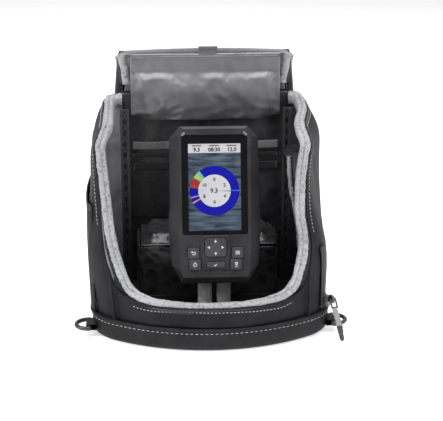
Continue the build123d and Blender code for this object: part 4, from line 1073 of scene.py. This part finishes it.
pocket_net = net("net_pocket_mesh", pocket_point, 106, 98, 3.4, 0.00075, net_cord)
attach(pocket_net, "bag")
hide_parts("net_pocket")
hem_line = np.array([pocket_point(u, 1.0) for u in np.linspace(0, 1, 60)])
hem_line[:, 2] = 0.1265
hem_line[:, 0] -= 0.0004 * np.abs(ripple(hem_line, 0.006, 121))
hem = strap("net_pocket_hem_strap", hem_line, (0, 0, 1), 7.6, 1.3, dark_webbing, ribs=6)
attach(hem, "bag")
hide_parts("net_pocket_hem")
for tag, u in (("front", 0.004), ("rear", 0.996)):
    bind_line = np.array([pocket_point(u, v) for v in np.linspace(0, 1, 30)])
    bind = strap("net_pocket_bind_" + tag, bind_line, (0, 1, 0), 4.0, 1.0, dark_webbing, ribs=3)
    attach(bind, "bag")

# ------------------------------------------------------------------ strap rings
# Moulded D-rings for a shoulder strap, free to swing on the bar that the tabs hold.
ring_plastic = moulded("ring_plastic", (0.018, 0.018, 0.020), (0.050, 0.050, 0.055), rough=0.32,
                       grain=0.0008,
                       gloss=0.6)
for node in ("strap_ring_left", "strap_ring_right"):
    finish_node(node, ring_plastic)

# ------------------------------------------------------------------ corner zip
# A short upright coil zip on the right front corner with a black metal slider. Its pull is a
# braided cord that ends in a tapered rubber grip.
TAPE_FOOT, TAPE_HEAD, TAPE_DEPTH = 26.0, 88.0, -50.0
corner_turn = math.asin((CORNER[1] - TAPE_DEPTH) / CORNER_RADIUS)
corner_out = np.array([math.cos(corner_turn), -math.sin(corner_turn), 0.0])
corner_side = np.array([math.sin(corner_turn), math.cos(corner_turn), 0.0])
tape_station = 2 - corner_turn / math.atan2(BOW_CENTRE - CORNER[1], CORNER[0])
tape_line = wall(np.full(50, tape_station), np.linspace(TAPE_FOOT, TAPE_HEAD, 50), 0.6)
side_tape = strap("side_zip_tape", tape_line, corner_side, 11.0, 0.9, zip_cloth, ribs=5)
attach(side_tape, "bag")
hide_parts("side_zip")
coil = teeth("side_zip_teeth", tape_line + corner_out * 0.0003, corner_out, corner_side, nylon_teeth,
             pitch=1.4,
             width=3.2, high=0.9)
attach(coil, "bag")
zip_black = bpy.data.materials.new("zip_metal")
zip_black.use_nodes = True
metal_shader = zip_black.node_tree.nodes["Principled BSDF"]
metal_shader.inputs["Metallic"].default_value = 0.8
wear = place_group(zip_black.node_tree, MOTTLE, Size=0.004)
wear_ramp = zip_black.node_tree.nodes.new("ShaderNodeValToRGB")
wear_ramp.color_ramp.elements[0].position, wear_ramp.color_ramp.elements[0].color = 0.45, (0.05, 0.05,
        0.053, 1)
wear_ramp.color_ramp.elements[1].position, wear_ramp.color_ramp.elements[1].color = 0.8, (0.30, 0.30, 0.31,
        1)
zip_black.node_tree.links.new(wear.outputs[0], wear_ramp.inputs[0])
zip_black.node_tree.links.new(wear_ramp.outputs[0], metal_shader.inputs["Base Color"])
zip_black.node_tree.links.new(add_math(zip_black.node_tree, "MULTIPLY", wear.outputs[0], 0.6),
                              metal_shader.inputs["Roughness"])
finish_node("side_zip_slider", zip_black)
finish_node("zip_pull_ring", zip_black)


def box_middle(node):
    """The middle and size of a CAD part."""
    low, high = [np.array(corner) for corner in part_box(node)]
    return (low + high) / 2, high - low


pale_braid = cloth("pale_braid", (0.12, 0.12, 0.125), (0.34, 0.34, 0.35), rough=0.7, thread=0.0008,
                   weave=0.8,
                   creasing=0.1)
grip_rubber = moulded("grip_rubber", (0.020, 0.020, 0.022), (0.060, 0.060, 0.064), rough=0.5, grain=0.0008)
middle, size = box_middle("zip_pull_tape")
braid_head = np.array([middle[0] - size[0] * 0.24, middle[1] + size[1] * 0.38, middle[2] + size[2] * 0.40])
middle, size = box_middle("zip_pull_grip")
grip_tip = np.array([middle[0] + size[0] * 0.18, middle[1] - size[1] * 0.38, middle[2] - size[2] * 0.42])
grip_head = np.array([middle[0] - size[0] * 0.12, middle[1] + size[1] * 0.36, middle[2] + size[2] * 0.40])
down = grip_tip - braid_head
down /= np.linalg.norm(down)
aside = np.cross(down, [0, 0, 1.0])
aside /= np.linalg.norm(aside)
facing = np.cross(down, aside)
rings = []
for q in np.linspace(0, 1, 46):
    spot = braid_head + (grip_head + down * 0.002 - braid_head) * q
    ring = []
    for c in range(14):
        angle = math.tau * c / 14
        plait = 1 + 0.14 * math.sin(3 * angle + 26 * q) + 0.10 * math.sin(3 * angle - 26 * q)
        ring.append(spot + (aside * math.cos(angle) * 0.0026 + facing * math.sin(angle) * 0.0012) * plait)
    rings.append(ring)
braid = tube("zip_pull_braid", np.array(rings), pale_braid)
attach(braid, "zip_pull")
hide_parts("zip_pull_tape")
rings = []
for q in np.linspace(0, 1, 40):
    spot = grip_head + (grip_tip - grip_head) * q
    girth = (0.0033 - 0.0012 * q) * min(1, math.sqrt(q * 12 + 0.1)) * min(1, math.sqrt((1 - q) * 8 + 0.05))
    girth *= 1 - 0.09 * (math.sin(q * 34) > 0.3) * (q < 0.7)
    rings.append([spot + (aside * math.cos(t) * girth + facing * math.sin(t) * girth * 0.55)
                  for t in np.linspace(0, math.tau, 16, endpoint=False)])
grip = tube("zip_pull_grip_moulding", np.array(rings), grip_rubber)
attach(grip, "zip_pull")
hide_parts("zip_pull_grip")

# ------------------------------------------------------------------ tray and uprights
# A moulded tray keeps the bag's foot in shape and carries two ladder-like uprights that hold the
# back corners up. Both are plain black polypropylene.
frame_plastic = moulded("frame_plastic", (0.014, 0.014, 0.016), (0.050, 0.050, 0.054), rough=0.42)
for node in ("base_tray", "left_upright", "right_upright"):
    finish_node(node, frame_plastic)

# ------------------------------------------------------------------ battery
# A sealed lead battery sits at the rear in a pouch of the slick lining cloth. The pouch is slack
# at its mouth, where the cloth stands up in shiny crumples round the case.
battery_case = moulded("battery_case", (0.008, 0.008, 0.009), (0.028, 0.028, 0.030), rough=0.45)
brass = bpy.data.materials.new("terminal_brass")
brass.use_nodes = True
brass_shader = brass.node_tree.nodes["Principled BSDF"]
brass_shader.inputs["Metallic"].default_value = 1.0
tarnish = place_group(brass.node_tree, MOTTLE, Size=0.003)
tarnish_ramp = brass.node_tree.nodes.new("ShaderNodeValToRGB")
tarnish_ramp.color_ramp.elements[0].color = (0.10, 0.08, 0.05, 1)
tarnish_ramp.color_ramp.elements[1].color = (0.30, 0.26, 0.18, 1)
brass.node_tree.links.new(tarnish.outputs[0], tarnish_ramp.inputs[0])
brass.node_tree.links.new(tarnish_ramp.outputs[0], brass_shader.inputs["Base Color"])
brass.node_tree.links.new(add_math(brass.node_tree, "MULTIPLY", tarnish.outputs[0], 0.7),
                          brass_shader.inputs["Roughness"])
finish_node("battery", battery_case)
finish_node("battery_terminals", brass)
slick_cloth = cloth("slick_cloth", (0.012, 0.012, 0.014), (0.060, 0.060, 0.066), rough=0.30, thread=0.0005,
                    weave=0.05, crease=0.014, creasing=0.5, sheen=0.05, gloss=0.5)
POUCH_MIDDLE, POUCH_HALF = (0.0, 42.0), (68.6, 34.6)
corners = 220
turns = np.linspace(0, math.tau, corners, endpoint=False)
power = 0.16
plan_x = np.sign(np.cos(turns)) * np.abs(np.cos(turns)) ** power * POUCH_HALF[0]
plan_y = np.sign(np.sin(turns)) * np.abs(np.sin(turns)) ** power * POUCH_HALF[1]
rings, inner_rings = [], []
for q in np.linspace(0, 1, 34):
    height = 8.4 + 61.0 * q
    ring = np.stack([POUCH_MIDDLE[0] + plan_x, POUCH_MIDDLE[1] + plan_y, np.full(corners, height)],
                    1) * 0.001
    slack = 0.4 + 1.9 * q**2
    bulge = 0.7 * creases(ring, 0.022, 131) + 0.6 * creases(ring, 0.010, 137) * q + 0.5 * ripple(ring, 0.03,
            139)
    grow = 1 + (slack * bulge / 60.0)[:, None]
    centre = np.array([POUCH_MIDDLE[0], POUCH_MIDDLE[1], 0]) * 0.001
    ring[:, :2] = centre[:2] + (ring[:, :2] - centre[:2]) * grow
    ring[:, 2] += (q**3 * (2.8 * ripple(ring, 0.018, 141) - 1.0)) * 0.001
    rings.append(ring)
    inner = ring.copy()
    inner[:, :2] = centre[:2] + (ring[:, :2] - centre[:2]) * 0.984
    inner_rings.append(inner)
pouch = tube("battery_pouch_cloth", np.array(rings + inner_rings[::-1]), slick_cloth, closed=True)
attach(pouch, "bag")
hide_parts("battery_pouch")
lid = sheet_grid(-67, 67, 9.0, 75, 0, 2.0)
lid[..., 1] = lid[..., 2]
across, up = panel_shares(lid)
rumple = creases(lid, 0.022, 151, (1.6, 1, 1)) * 0.6 + creases(lid, 0.010, 153) * 0.4
lid[..., 2] = (70.8 + (8.5 + 2.4 * rumple) * fade(across, 0.1) * fade(up, 0.22)) * 0.001
lid_under = lid.copy()
lid_under[..., 2] -= 0.0006
lid_cloth = slab("battery_flap", lid, lid_under, slick_cloth)
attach(lid_cloth, "bag")

# ------------------------------------------------------------------ inner pockets
# On the back wall, a flat net pocket beside the battery. On the right wall, a pleated pocket of
# lining cloth whose mouth is bound in the same silver strip as the opening.
back_net = net("inner_net_mesh", lambda u,
               v: Vector((-74 + 66 * u, 79.9 - 1.2 * math.sin(math.pi * u), 78 + 48.5 * v))
               * 0.001, 66, 48, 2.6, 0.0006, net_cord)
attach(back_net, "bag")
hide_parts("inner_net_pocket")
FLAP_LOW, FLAP_HIGH, FLAP_FRONT, FLAP_REAR = 72.5, 165.0, -8.0, 44.0
columns, rows = 34, 54
u, v = np.meshgrid(np.linspace(0, 1, columns), np.linspace(0, 1, rows))
near = np.stack([101.0 - (14 + 14.0 * v) * np.sin(math.pi * np.clip(u * 0.7 + 0.3, 0, 1)) ** 0.6,
                 FLAP_FRONT + (FLAP_REAR - FLAP_FRONT) * u, FLAP_LOW + (FLAP_HIGH - FLAP_LOW) * v],
                -1) * 0.001
near[..., 0] -= 0.0011 * creases(near, 0.018, 161, (1, 1, 1.8)) * fade(u, 0.12)
far = near.copy()
far[..., 0] = 0.1018
flap_pocket = slab("side_flap_pocket_cloth", near, far, dark_lining)
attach(flap_pocket, "bag")
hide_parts("side_flap_pocket")


def crimped_edge(name, line, radius, material, seed):
    """A gathered edge strip: a soft roll whose radius and place wander in small puckers."""
    line = np.asarray(line)
    along = np.gradient(line, axis=0)
    along /= np.linalg.norm(along, axis=1, keepdims=True)
    side = np.cross(along, [0.0, 1.0, 0.0])
    side /= np.linalg.norm(side, axis=1, keepdims=True)
    front = np.cross(along, side)
    rings = []
    for turn in np.linspace(0, math.tau, 14, endpoint=False):
        spot = line + (side * math.cos(turn) + front * math.sin(turn) * 0.7) * radius * 0.001
        swell = 0.5 * creases(spot, 0.005, seed) + 0.5 * ripple(spot, 0.011, seed + 1)
        rings.append(spot + (spot - line) * swell[:, None] * 0.55)
    return tube(name, np.stack(rings, 1), material)


steps = np.linspace(0, 1, 110)
mouth = np.stack([100.6 - (14 + 14.0 * steps) * 0.88 + 1.0 * np.sin(steps * 7), FLAP_FRONT - 0.6 + 0 * steps,
                  FLAP_LOW + (FLAP_HIGH - FLAP_LOW) * steps], 1) * 0.001
pocket_edge = crimped_edge("flap_pocket_edge", mouth, 2.0, silver_cloth, 171)
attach(pocket_edge, "bag")

# ------------------------------------------------------------------ mount
# The foot plate is screwed through the tray. Two turned posts carry the head, on which a bracket
# swivels. The display hangs between its ears on a bolt with a hand knob.
mount_plastic = moulded("mount_plastic", (0.012, 0.012, 0.014), (0.040, 0.040, 0.044), rough=0.45)
for node in ("mount_foot", "mount_head", "swivel_bracket", "tilt_knob", "power_socket"):
    finish_node(node, mount_plastic)


def metal(name, dark, light, rough, size, metallic=1.0):
    """Bare or satin metal with uneven polish."""
    made = bpy.data.materials.new(name)
    made.use_nodes = True
    tree = made.node_tree
    shader = tree.nodes["Principled BSDF"]
    shader.inputs["Metallic"].default_value = metallic
    cloud = place_group(tree, MOTTLE, Size=size)
    ramp = tree.nodes.new("ShaderNodeValToRGB")
    ramp.color_ramp.elements[0].position, ramp.color_ramp.elements[1].position = 0.3, 0.8
    ramp.color_ramp.elements[0].color, ramp.color_ramp.elements[1].color = (*dark, 1), (*light, 1)
    tree.links.new(cloud.outputs[0], ramp.inputs[0])
    tree.links.new(ramp.outputs[0], shader.inputs["Base Color"])
    polish = add_math(tree, "MULTIPLY_ADD", cloud.outputs[0], 0.25)
    polish.node.inputs[2].default_value = rough - 0.1
    tree.links.new(polish, shader.inputs["Roughness"])
    return made


# The posts are light satin metal, but coloured near-white and barely metallic: painted highlight standing in
# for the light their turned metal reflects.
finish_node("mount_posts", metal("post_metal", (0.72, 0.72, 0.73), (0.92, 0.92, 0.93), 0.25, 0.008, 0.15))
bright_steel = metal("bright_steel", (0.35, 0.35, 0.36), (0.66, 0.66, 0.67), 0.28, 0.003)
for node in ("foot_screws", "swivel_bolt", "tilt_bolt", "case_screws"):
    finish_node(node, bright_steel)

# ------------------------------------------------------------------ display case
# Front and rear shells of black glass-filled nylon, screwed together over a gasket, with two
# polished corner inlays. The face has a fine matt texture that catches light on its bevels.
case_plastic = moulded("case_plastic", (0.016, 0.016, 0.018), (0.036, 0.036, 0.040), rough=0.36,
                       grain=0.0005,
                       depth=0.2, gloss=0.3)
for node in ("front_case", "rear_case"):
    finish_node(node, case_plastic)
finish_node("corner_inlays", metal("inlay_metal", (0.55, 0.55, 0.55), (0.85, 0.85, 0.85), 0.3, 0.002))
seal_rubber = moulded("seal_rubber", (0.006, 0.006, 0.007), (0.018, 0.018, 0.020), rough=0.6)
for node in ("key_membrane", "case_gasket"):
    finish_node(node, seal_rubber)
finish_node("main_board", moulded("board", (0.01, 0.05, 0.02), (0.02, 0.10, 0.04), rough=0.4))
key_rubber = moulded("key_rubber", (0.020, 0.020, 0.022), (0.048, 0.048, 0.052), rough=0.45, grain=0.0005)
KEYS = ("arrow_pad", "enter_key", "back_key", "power_key", "menu_key", "mark_key")
for node in KEYS:
    finish_node(node, key_rubber)

# ------------------------------------------------------------------ screen
# A glass window with a black printed border over the display. It shows a dial with the depth in
# the middle, a strip of readings along the top and a murky water background.
LEAN = math.radians(14.0)
FACE_ORIGIN = np.array([4.0, -38.95, 126.45])


def on_face(x, y, z):
    """A point of the display's face, given across, into and up it in millimetres."""
    depth = math.cos(LEAN) * y + math.sin(LEAN) * z
    height = -math.sin(LEAN) * y + math.cos(LEAN) * z
    return (FACE_ORIGIN + np.array([x, depth, height])) * 0.001


def plate(name, outlines, front, back, material):
    """Thin plates that lie on the face; each outline is a ring of (x, z) points. A pair of rings
    with as many points makes a plate with a hole."""
    verts, faces = [], []
    for outline in outlines:
        base = len(verts)
        if isinstance(outline, tuple):
            outer, inner = outline
            count = len(outer)
            for ring, depth in ((outer, front), (inner, front), (outer, back), (inner, back)):
                verts += [on_face(x, depth, z) for x, z in ring]
            for c in range(count):
                d = (c + 1) % count
                f = [base + c, base + d, base + count + d, base + count + c]
                faces.append(f)
                faces.append([2 * count + k for k in f][::-1])
                faces.append([base + c, base + 2 * count + c, base + 2 * count + d, base + d])
                faces.append([base + count + d, base + 3 * count + d, base + 3 * count + c,
                              base + count + c])
        else:
            count = len(outline)
            for depth in (front, back):
                verts += [on_face(x, depth, z) for x, z in outline]
            faces.append([base + c for c in range(count)])
            faces.append([base + count + c for c in range(count)][::-1])
            for c in range(count):
                d = (c + 1) % count
                faces.append([base + c, base + d, base + count + d, base + count + c])
    return new_piece(name, verts, faces, material, smooth=False)


def rounded(x0, x1, z0, z1, radius, steps=7):
    """The outline of a rectangle with round corners."""
    points = []
    for cx, cz, start in ((x1 - radius, z1 - radius, 0), (x0 + radius, z1 - radius, 90),
                          (x0 + radius, z0 + radius, 180), (x1 - radius, z0 + radius, 270)):
        for k in range(steps):
            angle = math.radians(start + 90 * k / (steps - 1))
            points.append((cx + radius * math.cos(angle), cz + radius * math.sin(angle)))
    return points


def glowing(name, dark, light, size, glow, stretch=1.0, shine=0.12, coat=0.8):
    """Screen colour behind glass: a little of its own light and a glossy coat."""
    made = bpy.data.materials.new(name)
    made.use_nodes = True
    tree = made.node_tree
    shader = tree.nodes["Principled BSDF"]
    shader.inputs["Roughness"].default_value = 0.3
    shader.inputs["Specular IOR Level"].default_value = 0.12
    shader.inputs["Coat Weight"].default_value = coat
    shader.inputs["Coat Roughness"].default_value = shine
    shader.inputs["Emission Strength"].default_value = glow
    coords = tree.nodes.new("ShaderNodeTexCoord")
    squeeze = tree.nodes.new("ShaderNodeMapping")
    squeeze.inputs["Scale"].default_value = (1.0, stretch, stretch)
    cloud = tree.nodes.new("ShaderNodeTexNoise")
    cloud.inputs["Scale"].default_value = 1.0 / size
    cloud.inputs["Detail"].default_value = 4.0
    tree.links.new(coords.outputs["Object"], squeeze.inputs["Vector"])
    tree.links.new(squeeze.outputs[0], cloud.inputs["Vector"])
    ramp = tree.nodes.new("ShaderNodeValToRGB")
    ramp.color_ramp.elements[0].position, ramp.color_ramp.elements[1].position = 0.3, 0.72
    ramp.color_ramp.elements[0].color, ramp.color_ramp.elements[1].color = (*dark, 1), (*light, 1)
    tree.links.new(cloud.outputs[0], ramp.inputs[0])
    tree.links.new(ramp.outputs[0], shader.inputs["Base Color"])
    tree.links.new(ramp.outputs[0], shader.inputs["Emission Color"])
    return made


SCREEN_HALF, SCREEN_LOW, SCREEN_HIGH, STRIP_LOW = 25.0, -24.0, 58.8, 50.0
black_print = glowing("black_print", (0.003, 0.003, 0.004), (0.005, 0.005, 0.006), 0.01, 0.0, shine=0.04,
                      coat=0.25)
water = glowing("water_picture", (0.010, 0.016, 0.026), (0.072, 0.094, 0.125), 0.016, 0.5, stretch=6.0,
                coat=0.05)
strip_white = glowing("strip_white", (0.36, 0.36, 0.375), (0.42, 0.42, 0.435), 0.02, 0.2, coat=0.05)
ink = glowing("screen_ink", (0.02, 0.02, 0.022), (0.05, 0.05, 0.055), 0.01, 0.0)
border = plate("lens_border", [(rounded(-30.8, 30.8, -27.3, 66.8, 3.0),
                                rounded(-SCREEN_HALF, SCREEN_HALF, SCREEN_LOW, SCREEN_HIGH, 0.6))], 1.0,
               2.6, black_print)
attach(border, "unit")
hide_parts("lens")
picture = plate("screen_picture", [rounded(-25.2, 25.2, -24.2, 59.0, 0.6)], 1.5, 2.55, water)
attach(picture, "unit")
finish_node("display_panel", moulded("panel_back", (0.01, 0.01, 0.011), (0.03, 0.03, 0.032), rough=0.5))
strip = plate("reading_strip", [rounded(-24.9, 24.9, STRIP_LOW, 58.7, 0.4)], 1.38, 1.52, strip_white)
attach(strip, "unit")
DIAL_CENTRE, DIAL_OUTER, DIAL_INNER = (-0.2, 14.0), 23.6, 15.4


def sector(start, end, inner, outer):
    """Part of a ring, between two directions in degrees."""
    count = max(2, int(abs(end - start) / 3) + 1)
    angles = np.radians(np.linspace(start, end, count))
    far_arc = [(DIAL_CENTRE[0] + outer * math.cos(a), DIAL_CENTRE[1] + outer * math.sin(a)) for a in angles]
    near_arc = [(DIAL_CENTRE[0] + inner * math.cos(a),
                 DIAL_CENTRE[1] + inner * math.sin(a)) for a in angles[::-1]]
    return far_arc + near_arc


dial_blue = glowing("dial_blue", (0.004, 0.004, 0.15), (0.006, 0.006, 0.21), 0.03, 0.6, coat=0.05)
SECTORS = {
    "dial_ring": (dial_blue, [(-149, -1.2), (1.2, 127), (172, 194), (198, 207)], DIAL_INNER, DIAL_OUTER),
    "dial_cyan": (glowing("dial_cyan", (0.03, 0.26, 0.24), (0.10, 0.38, 0.24), 0.006, 0.4), [(127, 134)],
                  15.4, 23.6),
    "dial_lime": (glowing("dial_lime", (0.20, 0.27, 0.06), (0.32, 0.34, 0.08), 0.006, 0.4), [(134, 147)],
                  15.4, 23.6),
    "dial_red": (glowing("dial_red", (0.14, 0.008, 0.008), (0.28, 0.03, 0.02), 0.006, 0.4),
                 [(149, 160), (161, 172)], 15.4, 23.6),
    "dial_tick_sky": (glowing("dial_sky", (0.02, 0.10, 0.42), (0.04, 0.15, 0.50), 0.01, 0.4),
                      [(-1.2, 1.2), (194, 196)],
                      15.4, 23.6),
    "dial_tick_warm": (glowing("dial_warm", (0.32, 0.07, 0.03), (0.40, 0.26, 0.07), 0.004, 0.4),
                       [(196, 198), (207, 211)],
                       15.4, 23.6),
}
for name, (paint, spans, inner, outer) in SECTORS.items():
    mark = plate(name, [sector(a, b, inner, outer) for a, b in spans], 1.34, 1.5, paint)
    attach(mark, "unit")
disc = plate("dial_disc", [sector(0, 357, 0.01, DIAL_INNER)], 1.33, 1.5, strip_white)
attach(disc, "unit")


def figures(name, text, x, z, size, material, depth=1.3, body="unit"):
    """Printed numbers on the face, as thin raised shapes."""
    curve = bpy.data.curves.new(name, "FONT")
    curve.body, curve.size, curve.align_x, curve.align_y = text, size, "CENTER", "CENTER"
    curve.extrude, curve.resolution_u, curve.offset = 0.06, 2, size * 0.03
    letter = bpy.data.objects.new(name + "_curve", curve)
    shape = bpy.data.meshes.new_from_object(letter)
    bpy.data.objects.remove(letter)
    for vertex in shape.vertices:
        vertex.co = Vector(on_face(x + vertex.co.x, depth - vertex.co.z, z + vertex.co.y))
    shape.materials.clear()
    shape.materials.append(material)
    shape.name = name
    made = bpy.data.objects.new(name, shape)
    scene.collection.objects.link(made)
    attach(made, body)
    return made


for text, angle in (("0", 90), ("2", 30), ("4", -30), ("6", -90), ("8", 210), ("10", 150)):
    figures("dial_figure_" + text, text, DIAL_CENTRE[0] + 11.2 * math.cos(math.radians(angle)),
            DIAL_CENTRE[1] + 10.6 * math.sin(math.radians(angle)), 4.4, ink)
figures("dial_depth", "9.3", DIAL_CENTRE[0] - 0.4, DIAL_CENTRE[1], 6.0, ink)
for tag, text, x in (("left", "9.3", -16.6), ("middle", "08:30", 0.0), ("right", "12.0", 16.6)):
    figures("reading_" + tag, text, x, 52.9, 5.2, ink)
    line = plate("reading_label_" + tag, [rounded(x - 4.6, x + 4.6, 56.3, 57.2, 0.2)], 1.3, 1.4, ink)
    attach(line, "unit")

# ------------------------------------------------------------------ key marks
# Each key has a small white mark moulded flush in its rubber: four arrow heads, a tick, and the
# marks for back, power, menu and mark.
white_mark = moulded("white_mark", (0.42, 0.42, 0.42), (0.62, 0.62, 0.62), rough=0.5)


def ring_outline(x, z, outer, inner, count=20):
    """A whole ring as a pair of round outlines."""
    turns = [math.tau * k / count for k in range(count)]
    return tuple([(x + r * math.cos(t), z + r * math.sin(t)) for t in turns] for r in (outer, inner))


def bar(x, z, wide, high, lean=0.0):
    """A leaning bar."""
    c, s = math.cos(math.radians(lean)), math.sin(math.radians(lean))
    return [(x + a * c - b * s, z + a * s + b * c) for a, b in
            ((-wide / 2, -high / 2), (wide / 2, -high / 2), (wide / 2, high / 2), (-wide / 2, high / 2))]


def key_place(node):
    """The middle of a key's front face, as face coordinates."""
    low, high = [np.array(corner) * 1000 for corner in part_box(node)]
    x, y, z = (low + high) / 2 - FACE_ORIGIN
    across_face = x
    up_face = math.sin(LEAN) * y + math.cos(LEAN) * z
    front = min(
        math.cos(LEAN) * (v.co.y * 1000 - FACE_ORIGIN[1]) - math.sin(LEAN) * (v.co.z * 1000 - FACE_ORIGIN[2])
        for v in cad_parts[node].data.vertices
    )
    return across_face, up_face, front


def arrow_head(x, z, turn, size):
    """A small triangle that points along a direction."""
    angles = [math.radians(turn + k) for k in (0, 125, 235)]
    return [(x + size * math.cos(a), z + size * math.sin(a)) for a in angles]


x, z, front = key_place("arrow_pad")
MARKS = {"arrow_pad": [arrow_head(x, z + 5.9, 90, 1.7), arrow_head(x, z - 5.9, -90, 1.7),
                       arrow_head(x - 6.5, z, 180, 1.7), arrow_head(x + 6.5, z, 0, 1.7)]}
x, z, front = key_place("enter_key")
MARKS["enter_key"] = [bar(x + 0.4, z, 0.7, 3.2, -40), bar(x - 1.2, z - 0.6, 0.7, 1.6, 45)]
x, z, front = key_place("back_key")
MARKS["back_key"] = [bar(x + 0.2, z + 1.0, 3.0, 0.7), bar(x + 1.6, z - 0.1, 0.7, 2.6),
                     bar(x + 0.2, z - 1.3, 2.8, 0.7),
                     arrow_head(x - 1.5, z + 1.0, 180, 1.3)]
x, z, front = key_place("power_key")
MARKS["power_key"] = [ring_outline(x, z, 1.9, 1.2), bar(x, z + 1.7, 0.7, 1.8)]
x, z, front = key_place("menu_key")
MARKS["menu_key"] = [bar(x, z + k * 1.3, 4.2, 0.7) for k in (-1, 0, 1)]
x, z, front = key_place("mark_key")
MARKS["mark_key"] = [ring_outline(x, z + 0.9, 1.5, 0.6), bar(x, z - 1.2, 0.7, 2.2),
                     bar(x, z - 2.2, 3.2, 0.6)]
for node, shapes in MARKS.items():
    front = key_place(node)[2]
    for number, shape in enumerate(shapes):
        mark = plate("%s_mark_%d" % (node, number), [shape], front - 0.05, front + 0.5, white_mark)
        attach(mark, node + "_cap")
